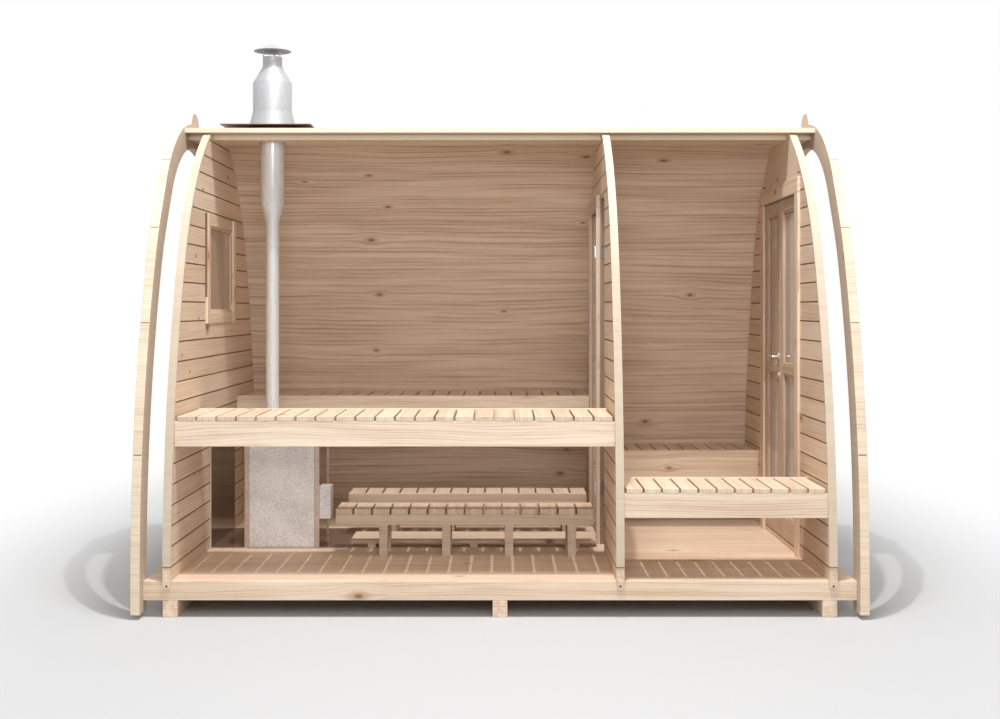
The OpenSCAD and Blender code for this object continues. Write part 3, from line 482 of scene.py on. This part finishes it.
# The lining's inner face runs up from the foot of the wall and on round both arcs.
lining = bmesh.new()
ends = [lining.verts.new((x, HALF_WIDTH, shell_low.z)) for x in (shell_low.x, shell_high.x)]
lifted = bmesh.ops.extrude_edge_only(lining, edges=[lining.edges.new(ends)])["geom"]
top_ends = [g for g in lifted if isinstance(g, bmesh.types.BMVert)]
bmesh.ops.translate(lining, verts=top_ends, vec=(0, 0, FLOOR_LEVEL - shell_low.z))
for centre, angle, steps in ((SIDE_CENTRE, SIDE_TURN, 20), (SHOULDER_CENTRE, shoulder_turn, 30)):
    edge = [g for g in lifted if isinstance(g, bmesh.types.BMEdge)]
    ends = [v for e in edge for v in e.verts]
    lifted = bmesh.ops.spin(lining, geom=edge + ends, cent=centre, axis=(1, 0, 0),
                            dvec=(0, 0, 0), angle=angle, steps=steps,
                            use_merge=False)["geom_last"]
bmesh.ops.recalc_face_normals(lining, faces=lining.faces)
bmesh.ops.solidify(lining, geom=lining.faces[:], thickness=-LINING)
write_grain(lining, 41, follow=lambda p: (p.x, round_the_body(p).x, round_the_body(p).y))
finish_piece(lining, "far_lining", "pod", [lining_spruce], ["far_wall", "far_roof"])

cladding = bmesh.new()
shell_x, shell_length = (shell_low.x + shell_high.x) / 2, shell_high.x - shell_low.x
for centre, radius, start, turn, count in (
        (SIDE_CENTRE, SIDE_RADIUS + LINING, 0.0, SIDE_TURN, SIDE_BOARDS),
        (SHOULDER_CENTRE, SHOULDER_RADIUS + LINING, SIDE_TURN,
         shoulder_turn - RIDGE_CLEARANCE, ROOF_BOARDS)):
    width = 2 * radius * math.tan(turn / count / 2) - BOARD_GAP
    for i in range(count):
        a = start + turn * (i + 0.5) / count
        place = centre + leaning(a) * (radius + CLADDING / 2 - CLADDING_IN)
        place.x = shell_x
        size = Matrix.Diagonal((shell_length, CLADDING - CLADDING_IN, width, 1))
        shape = Matrix.Translation(place) @ Matrix.Rotation(a, 4, "X") @ size
        bmesh.ops.create_cube(cladding, size=1.0, matrix=shape)
foot = (0, HALF_WIDTH + LINING + CLADDING / 2, (FLOOR_LEVEL + shell_low.z) / 2)
size = (shell_length, CLADDING - 0.001, FLOOR_LEVEL - shell_low.z - BOARD_GAP, 1)
bmesh.ops.create_cube(cladding, size=1.0, matrix=Matrix.Translation(foot) @ Matrix.Diagonal(size))
ease(cladding, 0.003, steps=1)
write_grain(cladding, 42, along=0)
finish_piece(cladding, "far_cladding", "pod", [wall_spruce])

# ---- Ridge ----
# One wide board along the top with a narrower beam under it, both with a round hole for the flue.
# Their near faces are coloured paler as painted light, the beam's on a facing between the walls
# only.
FACING, FACING_GAP = 0.012, 0.001
ridge_spruce = spruce("ridge_spruce", (0.74, 0.60, 0.46), (0.54, 0.40, 0.27), knots=1.5, line=0.014)
lit_face_spruce = spruce("lit_face_spruce", (0.92, 0.81, 0.65), (0.80, 0.66, 0.49),
                     line=0.012, knots=0.0, strength=0.4)
ridge = cad_copy("ridge_board")
ease(ridge, 0.002)
# the near face takes the paler wood as painted light
for face in ridge.faces:
    if face.normal.y < -0.9:
        face.material_index = 1
write_grain(ridge, 51, along=0)
finish_piece(ridge, "ridge_board_wood", "pod", [ridge_spruce, lit_face_spruce],
             ["ridge_board"])
timber_piece("ridge_beam", frame_spruce, 52, along=0)

beam_low, beam_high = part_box("ridge_beam")
walls = [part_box(wall) for wall in ("window_wall", "partition_top", "entrance_wall_top")]
starts = [beam_low.x] + [high.x for low, high in walls]
stops = [low.x for low, high in walls] + [beam_high.x]
# the beam's near facing carries the paler wood as painted light
facing = bmesh.new()
for start, stop in zip(starts, stops):
    board(facing, (start + FACING_GAP, beam_low.y - FACING, beam_low.z),
          (stop - FACING_GAP, beam_low.y, beam_high.z - FACING_GAP), 0.002)
write_grain(facing, 53, along=0)
finish_piece(facing, "ridge_beam_lit_facing", "pod", [lit_face_spruce])

# ---- Arches ----
# Each half arch is built up from five sawn segments that meet in fine joints, with the grain
# running along each segment. It is fixed to the floor and ends just clear of the ground.
ARCH_JOINTS, JOINT_EASE = (0.757, 1.370, 1.830, 2.179), 0.0022
CROWN_RADIUS, CROWN_TURN, CROWN_STRAIGHT = 0.707, math.radians(32.4), 0.200
CROWN_OUT, CROWN_ON = leaning(CROWN_TURN), leaning(CROWN_TURN + math.pi / 2)
CROWN_CENTRE = (SHOULDER_CENTRE + (SHOULDER_RADIUS - CROWN_RADIUS) * CROWN_OUT
                + CROWN_STRAIGHT * CROWN_ON)
arch_spruce = spruce("arch_spruce", (0.86, 0.72, 0.55), (0.62, 0.44, 0.29),
                     line=0.016, spread=0.2, knots=0.5, strength=0.8)
# A darker, duller copy of the arch wood for the arches' side faces: painted shade, as those faces
# turn away from the light.
arch_side_shade = spruce("arch_side_shade", (0.62, 0.49, 0.38), (0.46, 0.34, 0.24),
                   line=0.030, spread=0.2, knots=0.3, strength=0.5)


def round_the_arch(point):
    """As round_the_body, but with the arch's straight piece and tighter crown."""
    y, z = abs(point.y), point.z
    turn = math.atan2(z - SHOULDER_CENTRE.z, y - SHOULDER_CENTRE.y)
    if z < SHOULDER_CENTRE.z or turn < CROWN_TURN:
        return round_the_body(point)
    length = SIDE_LENGTH + SHOULDER_RADIUS * (CROWN_TURN - SIDE_TURN) + CROWN_STRAIGHT
    from_crown = Vector((0, y, z)) - CROWN_CENTRE
    turn = math.atan2(from_crown.z, from_crown.y)
    if turn < CROWN_TURN:
        return Vector((length + from_crown.dot(CROWN_ON),
                       from_crown.dot(CROWN_OUT) - CROWN_RADIUS, point.x))
    return Vector((length + CROWN_RADIUS * (turn - CROWN_TURN),
                   from_crown.length - CROWN_RADIUS, point.x))


def across_arch(level, side):
    """A point and the upward direction of the arch's outline at a height."""
    arcs = [(SIDE_CENTRE, SIDE_RADIUS, 0.0), (SHOULDER_CENTRE, SHOULDER_RADIUS, SIDE_TURN),
            (CROWN_CENTRE, CROWN_RADIUS, CROWN_TURN)]
    centre, radius = [(c, r) for c, r, a in arcs if level >= c.z + r * math.sin(a)][-1]
    turn = math.asin((level - centre.z) / radius)
    mirror = Vector((1, side, 1))
    return (centre + radius * leaning(turn)) * mirror, leaning(turn + math.pi / 2) * mirror


def arch_segments(node, seed):
    """Cuts both half arches across at their joints."""
    made = bmesh.new()
    for side in (-1, 1):
        for bottom, top in zip((None, *ARCH_JOINTS), (*ARCH_JOINTS, None)):
            bm = cad_copy(node)
            wrong = [v for v in bm.verts if v.co.y * side < 0]
            bmesh.ops.delete(bm, geom=wrong, context="VERTS")
            cuts = []
            for level, outwards in ((bottom, -1), (top, 1)):
                if level is not None:
                    point, upwards = across_arch(level, side)
                    cuts.append((point, upwards))
                    cut_beyond(bm, point, upwards * outwards)
            ease(bm, JOINT_EASE)
            for face in bm.faces:
                middle = face.calc_center_median()
                # side faces take the darker copy as painted shade
                if abs(face.normal.x) > 0.9:
                    face.material_index = 2
                # joint faces take the near-black wood as painted shade in the fine joints
                elif abs(face.normal.x) < 0.3 and any(
                        abs((middle - point).dot(upwards)) < JOINT_EASE + 0.0002
                        for point, upwards in cuts):
                    face.material_index = 1
            join_into(made, bm)

    def lengthwise(point):
        length, depth, across = round_the_arch(point)
        return across + 3 * depth, length, 0

    write_grain(made, seed, follow=lengthwise)
    finish_piece(made, node + "_segments", "pod",
                 [arch_spruce, painted_groove_shade, arch_side_shade], [node])


arch_segments("arch_left", 61)
arch_segments("arch_right", 62)

# ---- Window ----
# A fixed double pane in the window wall, held by small beads, with casing boards on both
# faces: stiles from top to bottom and thinner rails between them.
RAIL_SET_BACK, WINDOW_BEAD = 0.011, 0.014
GAP_SHADOW_WIDTH, GAP_SHADOW_DEPTH, GAP_SHADOW_FOOT = 0.002, 0.012, 0.14


def bead_ring(bm, x0, x1, y0, y1, z0, z1, bead):
    """Four small beads inside an opening."""
    board(bm, (x0, y0, z0), (x1, y0 + bead, z1), 0.002)
    board(bm, (x0, y1 - bead, z0), (x1, y1, z1), 0.002)
    board(bm, (x0, y0 + bead, z0), (x1, y1 - bead, z0 + bead), 0.002)
    board(bm, (x0, y0 + bead, z1 - bead), (x1, y1 - bead, z1), 0.002)


wall_low, wall_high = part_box("window_wall")
pane_low, pane_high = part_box("window_glass")
casing_low, casing_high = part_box("window_casing")
window_stiles, window_rails = bmesh.new(), bmesh.new()
for x0, x1, rail_x0, rail_x1 in (
        (casing_low.x, wall_low.x, casing_low.x + RAIL_SET_BACK, wall_low.x),
        (wall_high.x, casing_high.x, wall_high.x, casing_high.x - RAIL_SET_BACK)):
    for y0, y1 in ((casing_low.y, pane_low.y), (pane_high.y, casing_high.y)):
        board(window_stiles, (x0, y0, casing_low.z), (x1, y1, casing_high.z), 0.002)
    for z0, z1 in ((casing_low.z, pane_low.z), (pane_high.z, casing_high.z)):
        board(window_rails, (rail_x0, pane_low.y, z0), (rail_x1, pane_high.y, z1), 0.002)
write_grain(window_stiles, 71)
write_grain(window_rails, 73)
finish_piece(window_stiles, "window_stiles", "pod", [frame_spruce], ["window_casing"])
finish_piece(window_rails, "window_rails", "pod", [wall_spruce], ["window_casing"])

# A thin near-black board in the joint beside the near stile is a painted shadow of that gap.
gap_shadow = bmesh.new()
board(gap_shadow, (wall_high.x, casing_low.y - GAP_SHADOW_WIDTH, casing_low.z + GAP_SHADOW_FOOT),
      (wall_high.x + GAP_SHADOW_DEPTH, casing_low.y, casing_high.z), 0)
write_grain(gap_shadow, 74)
finish_piece(gap_shadow, "window_gap_shadow", "pod", [painted_groove_shade])
beads = bmesh.new()
for x0, x1 in ((wall_low.x + 0.001, pane_low.x), (pane_high.x, wall_high.x - 0.001)):
    bead_ring(beads, x0, x1, pane_low.y, pane_high.y, pane_low.z, pane_high.z, WINDOW_BEAD)
write_grain(beads, 72)
finish_piece(beads, "window_beads", "pod", [wall_spruce])


def tinted_glass(name, tint, dark, solid):
    """Sun glass in a brown tone, with painted reflection of the room streaked into its colour."""
    material, add, shader, links = blank_material(name)
    place = add("TexCoord").outputs["Object"]
    place = add("Mapping", {"Vector": place, "Scale": (0.8, 2.2, 0.8)}).outputs["Vector"]
    reflection_streak = add("TexNoise", {"Vector": place, "Scale": 1.0, "Detail": 3.0}).outputs["Fac"]
    reflection_streak = add("MapRange", {"Value": reflection_streak, "From Min": 0.35, "From Max": 0.65})
    paint(add, shader, links, reflection_streak.outputs["Result"], tint, dark, (0.03, 0.08))
    shader.inputs["Alpha"].default_value = solid
    return material


def glaze(node, material):
    """Gives the frame's own pane its glass."""
    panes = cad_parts[node].data.materials
    panes.clear()
    panes.append(material)


bronze_glass = tinted_glass("bronze_glass", (0.50, 0.37, 0.28), (0.40, 0.29, 0.21), solid=0.94)
glaze("window_glass", bronze_glass)

# ---- Sauna doorway ----
# The door set stands at the far side of a wider hole: casing on the sauna side, a post and head
# lining in the hole, a low threshold, and a plain panel that closes the rest of the hole.
CASING_WIDTH, POST_WIDTH, HEAD_HEIGHT, THRESHOLD, DOOR_HEIGHT = 0.045, 0.037, 0.070, 0.020, 1.830
wood_low, wood_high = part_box("sauna_door_frame")
partition_low, partition_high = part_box("partition_top")
post_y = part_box("sauna_side_panel")[1].y
inner_y = post_y + POST_WIDTH
lining_z = FLOOR_LEVEL + DOOR_HEIGHT
doorway_casing = spruce("doorway_casing", (0.72, 0.57, 0.46), (0.55, 0.39, 0.29),
                        line=0.012, knots=0.3)
# A dark copy of the casing wood for the post, head lining and threshold: painted shade for the deep
# hole.
doorway_lining_shade = spruce("doorway_lining_shade", (0.31, 0.22, 0.15), (0.22, 0.15, 0.10),
                        line=0.012, knots=0.0)
casing, lining = bmesh.new(), bmesh.new()
for y0, y1, z0, z1 in ((post_y, post_y + CASING_WIDTH, FLOOR_LEVEL, lining_z),
                       (wood_high.y - CASING_WIDTH, wood_high.y, FLOOR_LEVEL, lining_z),
                       (post_y, wood_high.y, lining_z, lining_z + HEAD_HEIGHT)):
    board(casing, (wood_low.x, y0, z0), (partition_low.x, y1, z1), 0.003)
for y0, y1, z0, z1 in ((post_y, inner_y, FLOOR_LEVEL, wood_high.z),
                       (inner_y, partition_high.y, lining_z, wood_high.z),
                       (inner_y, partition_high.y, FLOOR_LEVEL, FLOOR_LEVEL + THRESHOLD)):
    board(lining, (partition_low.x, y0, z0), (partition_high.x, y1, z1))
write_grain(casing, 81)
write_grain(lining, 83)
finish_piece(casing, "sauna_doorway_casing", "pod", [doorway_casing],
             ["sauna_door_frame"])
finish_piece(lining, "sauna_doorway_lining", "pod", [doorway_lining_shade],
             ["sauna_door_frame"])
timber_piece("sauna_side_panel", wall_spruce, 82, width=0.001, along=2)

# ---- Sauna door ----
# A frameless leaf of clear toughened glass, faintly green-grey, on two steel hinges with pins.
# Each hinge has a plate on the post, coloured dark as painted shade, and a bright block on the
# casing.
HINGE_HEIGHTS = (0.310, 1.590)
PLATE_START, PLATE_END, PLATE_THICKNESS, PLATE_HALF = 0.003, 0.024, 0.002, 0.036
BLOCK_DEPTH, BLOCK_START, BLOCK_HALF = 0.010, 0.002, 0.034
clear_glass, add, shader, links = blank_material("clear_glass")
shader.inputs["Base Color"].default_value = (0.72, 0.78, 0.77, 1)
shader.inputs["Alpha"].default_value = 0.22
shader.inputs["IOR"].default_value = 1.5
place = add("TexCoord").outputs["Object"]
smear = add("TexNoise", {"Vector": place, "Scale": 9.0, "Detail": 4.0}).outputs["Fac"]
smear = add("MapRange", {"Value": smear, "To Min": 0.01, "To Max": 0.09}).outputs["Result"]
links.new(smear, shader.inputs["Roughness"])
glaze("sauna_door_glass", clear_glass)

satin_steel = clouded("satin_steel", (0.62, 0.62, 0.62), (0.80, 0.80, 0.79),
                      rough=(0.22, 0.40), detail=2.0, stretch=(900, 900, 40), metallic=1.0)


def metal_piece(node, material, body="pod", width=0.0006, steps=1, smooth=25):
    """A metal part as the frame has it, with its edges broken."""
    bm = cad_copy(node)
    ease(bm, width, steps)
    finish_piece(bm, node + "_metal", body, [material], [node], smooth)


def speckled_steel(name, dull, bright, metallic, rough):
    """Sheet steel with a fine speckle."""
    material, add, shader, links = blank_material(name)
    shader.inputs["Metallic"].default_value = metallic
    place = add("TexCoord").outputs["Object"]
    fine = {"Vector": place, "Scale": 190.0, "Detail": 2.0, "Roughness": 0.8}
    grit = add("TexNoise", fine).outputs["Fac"]
    cloud = add("TexNoise", {"Vector": place, "Scale": 6.0, "Detail": 2.0}).outputs["Fac"]
    cloud = add("Math", {0: cloud, 1: 0.5}, operation="ADD").outputs[0]
    both = add("Math", {0: grit, 1: cloud}, operation="MULTIPLY").outputs[0]
    both = add("MapRange", {"Value": both, "From Min": 0.36, "From Max": 0.64}).outputs["Result"]
    paint(add, shader, links, both, dull, bright)
    levels = {"Value": grit, "To Min": rough - 0.08, "To Max": rough + 0.12}
    links.new(add("MapRange", levels).outputs["Result"], shader.inputs["Roughness"])
    return material


shaded_hinge_steel = speckled_steel("shaded_hinge_steel", (0.14, 0.14, 0.14), (0.22, 0.22, 0.21),
                             metallic=0.6, rough=0.35)
plates, blocks = bmesh.new(), bmesh.new()
for height in HINGE_HEIGHTS:
    z = FLOOR_LEVEL + height
    board(plates, (partition_low.x + PLATE_START, post_y - PLATE_THICKNESS, z - PLATE_HALF),
          (partition_low.x + PLATE_END, post_y, z + PLATE_HALF), 0.0004)
    board(blocks, (wood_low.x - BLOCK_DEPTH, post_y + BLOCK_START, z - BLOCK_HALF),
          (wood_low.x, post_y + BLOCK_HALF, z + BLOCK_HALF), 0.002)
finish_piece(plates, "sauna_hinge_plates", "pod", [shaded_hinge_steel])
finish_piece(blocks, "sauna_hinge_blocks", "pod", [satin_steel])
metal_piece("sauna_door_fittings", satin_steel, "sauna_door")
metal_piece("sauna_door_hinges", satin_steel)

# ---- Entrance ----
# Casing boards on both faces of the end wall and a sill between them. Two glazed leaves: stiles
# from top to bottom, three rails between them, and a pane above and below the middle rail held
# by small beads.
LEAF_STILE, LEAF_BOTTOM, LEAF_MIDDLE, LEAF_MIDDLE_AT = 0.066, 0.120, 0.050, FLOOR_LEVEL + 0.925
LEAF_BEAD, BEAD_SET_BACK, RAIL_IN = 0.012, 0.003, 0.0005
timber_piece("entrance_casing", frame_spruce, 91, width=0.003)
timber_piece("entrance_sill", frame_spruce, 92, width=0.003)
metal_piece("entrance_hinges", satin_steel)
door_spruce = spruce("door_spruce", (0.64, 0.49, 0.37), (0.44, 0.30, 0.20), line=0.013)
door_glass = tinted_glass("door_glass", (0.72, 0.58, 0.48), (0.52, 0.42, 0.35), solid=0.72)
for body, seed in (("entrance_leaf_near", 93), ("entrance_leaf_far", 94)):
    low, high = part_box(body + "_frame")
    pane_low, pane_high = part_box(body + "_glass")
    y0, y1 = low.y + LEAF_STILE, high.y - LEAF_STILE
    leaf = bmesh.new()
    board(leaf, low, (high.x, y0, high.z), 0.003)
    board(leaf, (low.x, y1, low.z), high, 0.003)
    rails = ((low.z, low.z + LEAF_BOTTOM), (LEAF_MIDDLE_AT, LEAF_MIDDLE_AT + LEAF_MIDDLE),
             (high.z - LEAF_STILE, high.z))
    for z0, z1 in rails:
        board(leaf, (low.x + RAIL_IN, y0, z0), (high.x - RAIL_IN, y1, z1), 0.003)
    for z0, z1 in ((rails[0][1], rails[1][0]), (rails[1][1], rails[2][0])):
        bead_ring(leaf, low.x + BEAD_SET_BACK, pane_low.x, y0, y1, z0, z1, LEAF_BEAD)
        bead_ring(leaf, pane_high.x, high.x - BEAD_SET_BACK, y0, y1, z0, z1, LEAF_BEAD)
    write_grain(leaf, seed)
    finish_piece(leaf, body + "_wood", body, [door_spruce], [body + "_frame"])
    glaze(body + "_glass", door_glass)
    metal_piece(body + "_fittings", satin_steel, body)

# ---- Benches ----
# Sanded slats, left untreated. On every bench they lie over an outer board on edge and end at
# an inner one that is level with them. The upper and changing room benches are fixed between
# the walls, and the low ones stand on legs. The foot board has battens under it.
slat_spruce = spruce("slat_spruce", (0.80, 0.66, 0.50), (0.58, 0.41, 0.28), line=0.014, spread=0.8)
bench_spruce = spruce("bench_spruce", (0.92, 0.76, 0.59), (0.64, 0.45, 0.31),
                      knots=1.5, line=0.013, strength=1.2)
# A darker copy of the slat wood for the low benches and foot board: painted shade under the upper
# bench.
shaded_low_spruce = spruce("shaded_low_spruce", (0.62, 0.49, 0.37), (0.45, 0.31, 0.21), line=0.014, spread=0.8)
for bench, wood, seed in (("upper_bench", slat_spruce, 101), ("changing_bench", slat_spruce, 103),
                          ("low_bench", shaded_low_spruce, 105)):
    timber_piece(bench + "_near_slats", wood, seed, width=0.003, along=1)
    timber_piece(bench + "_far_slats", wood, seed + 1, width=0.003, along=1)
timber_piece("upper_bench_boards", bench_spruce, 111)
timber_piece("changing_bench_boards", bench_spruce, 112)
timber_piece("low_bench_frames", shaded_low_spruce, 113)
timber_piece("foot_board", shaded_low_spruce, 114, width=0.003)

# ---- Stove ----
# A welded sheet steel body with square corner posts, and a box on its right side. Dark
# enamelled plates with bare edges keep the heat off the floor and the window wall.
POST, PLATE_EDGE = 0.026, 0.0085
stove_steel = speckled_steel("stove_steel", (0.50, 0.46, 0.44), (0.78, 0.75, 0.73),
                             metallic=0.25, rough=0.42)
side_steel = speckled_steel("side_steel", (0.40, 0.33, 0.28), (0.48, 0.40, 0.34),
                            metallic=0.95, rough=0.16)
post_steel = speckled_steel("post_steel", (0.42, 0.31, 0.25), (0.60, 0.47, 0.39),
                            metallic=0.4, rough=0.35)
stove_low, stove_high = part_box("stove_body")
stove = cad_copy("stove_body")
ease(stove, 0.0015)
for face in stove.faces:
    x = face.calc_center_median().x
    if abs(face.normal.x) > 0.9:
        face.material_index = 1
    elif min(x - stove_low.x, stove_high.x - x) < POST:
        face.material_index = 2
finish_piece(stove, "stove_sheets", "pod", [stove_steel, side_steel, post_steel],
             ["stove_body"])
metal_piece("stove_side_box", stove_steel, width=0.0015, steps=2)

dark_enamel = clouded("dark_enamel", (0.17, 0.105, 0.072), (0.13, 0.078, 0.053),
                      rough=(0.08, 0.22), detail=4.0, scale=5.0)
bare_edge = speckled_steel("bare_edge", (0.50, 0.40, 0.33), (0.66, 0.54, 0.46),
                           metallic=0.3, rough=0.35)
heat_plates = cad_copy("stove_heat_plates")
ease(heat_plates, 0.001)
for face in heat_plates.faces:
    size = [max(v.co[i] for v in face.verts) - min(v.co[i] for v in face.verts) for i in range(3)]
    if sorted(size)[1] < PLATE_EDGE:
        face.material_index = 1
finish_piece(heat_plates, "stove_heat_plates_metal", "pod",
             [dark_enamel, bare_edge], ["stove_heat_plates"])

# ---- Flue, roof plate and chimney ----
# Sheet steel pipe that widens under the ridge, a square brown roof plate on a round curb,
# and a turned chimney with a cone cap on three legs.
chimney_metal, add, shader, links = blank_material("chimney_metal")
shader.inputs["Metallic"].default_value = 0.45
place = add("TexCoord").outputs["Object"]
flower = add("TexVoronoi", {"Vector": place, "Scale": 90.0}).outputs["Color"]
flower = add("SeparateColor", {"Color": flower}).outputs[0]
paint(add, shader, links, flower, (0.47, 0.47, 0.48), (0.52, 0.52, 0.53), (0.44, 0.48))
flue_metal = clouded("flue_metal", (0.70, 0.70, 0.70), (0.78, 0.78, 0.78),
                     rough=(0.20, 0.34), detail=2.0, stretch=(30, 30, 4), metallic=0.25)
roof_sheet = clouded("roof_sheet", (0.30, 0.17, 0.11), (0.22, 0.12, 0.08),
                     rough=0.35, detail=4.0, scale=14.0)
metal_piece("flue_pipe", flue_metal, width=0, smooth=30)
metal_piece("chimney", chimney_metal, width=0, smooth=15)
metal_piece("chimney_cap", chimney_metal, width=0, smooth=30)
metal_piece("roof_plate", roof_sheet, width=0.001, steps=2)

# ---- Studio ----
# A plain pale floor that fades to white away from the pod, an even white world, a broad lamp
# above the open side with a small sharp one beside it, and a wide soft one from the front.
floor_material, add, shader, links = blank_material("studio_floor")
shader.inputs["Base Color"].default_value = (0.56, 0.56, 0.565, 1)
shader.inputs["Roughness"].default_value = 0.85
place = add("TexCoord").outputs["Object"]
reach = add("VectorMath", {0: place, 1: (0.28, 0.10, 0)}, operation="MULTIPLY").outputs["Vector"]
reach = add("VectorMath", {0: reach}, operation="LENGTH").outputs["Value"]
fade = add("MapRange", {"Value": reach, "From Min": 0.42, "From Max": 1.05},
           interpolation_type="SMOOTHSTEP").outputs["Result"]
seen = add("LightPath").outputs["Is Camera Ray"]
both = add("Math", {0: fade, 1: seen}, operation="MULTIPLY").outputs[0]
white = add("Emission", {"Color": (1, 1, 1, 1), "Strength": 1.0}).outputs[0]
mixed = add("MixShader", {0: both, 1: shader.outputs[0], 2: white}).outputs[0]
links.new(mixed, floor_material.node_tree.nodes["Material Output"].inputs["Surface"])
ground = bmesh.new()
bmesh.ops.create_grid(ground, x_segments=1, y_segments=1, size=30)
mesh = bpy.data.meshes.new("studio_floor")
ground.to_mesh(mesh)
ground.free()
mesh.materials.append(floor_material)
studio_floor = bpy.data.objects.new("studio_floor", mesh)
bpy.context.scene.collection.objects.link(studio_floor)
studio_floor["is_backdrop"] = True

# The world looks white in the view, in mirrors and through glass, and lights less brightly.
world = bpy.data.worlds.new("studio")
bpy.context.scene.world = world
world.use_nodes = True
background = world.node_tree.nodes["Background"].inputs
background["Color"].default_value = (1, 1, 1, 1)
add = node_adder(world.node_tree)
path = add("LightPath").outputs
seen = add("Math", {0: path["Is Camera Ray"], 1: path["Is Glossy Ray"]},
           operation="MAXIMUM").outputs[0]
seen = add("Math", {0: seen, 1: path["Is Transmission Ray"]}, operation="MAXIMUM").outputs[0]
level = add("MapRange", {"Value": seen, "To Min": 0.40, "To Max": 1.0}).outputs["Result"]
world.node_tree.links.new(level, background["Strength"])


def lamp(name, place, aim, size, power):
    """A square lamp turned towards a point."""
    data = bpy.data.lights.new(name, "AREA")
    data.shape = "SQUARE"
    data.size = size
    data.energy = power
    light = bpy.data.objects.new(name, data)
    light.location = place
    light.rotation_euler = (Vector(aim) - Vector(place)).to_track_quat("-Z", "Y").to_euler()
    bpy.context.scene.collection.objects.link(light)


lamp("key_lamp", (0.2, -2.5, 7.7), aim=(0, -0.5, 0.9), size=1.5, power=330)
lamp("sharp_lamp", (0.1, -2.2, 8.0), aim=(0, -0.5, 0.7), size=0.10, power=250)
lamp("front_lamp", (0.3, -8.0, 3.6), aim=(0, 0, 1.1), size=2.6, power=180)

scene = bpy.context.scene
scene.view_settings.view_transform = "Standard"

low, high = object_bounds()
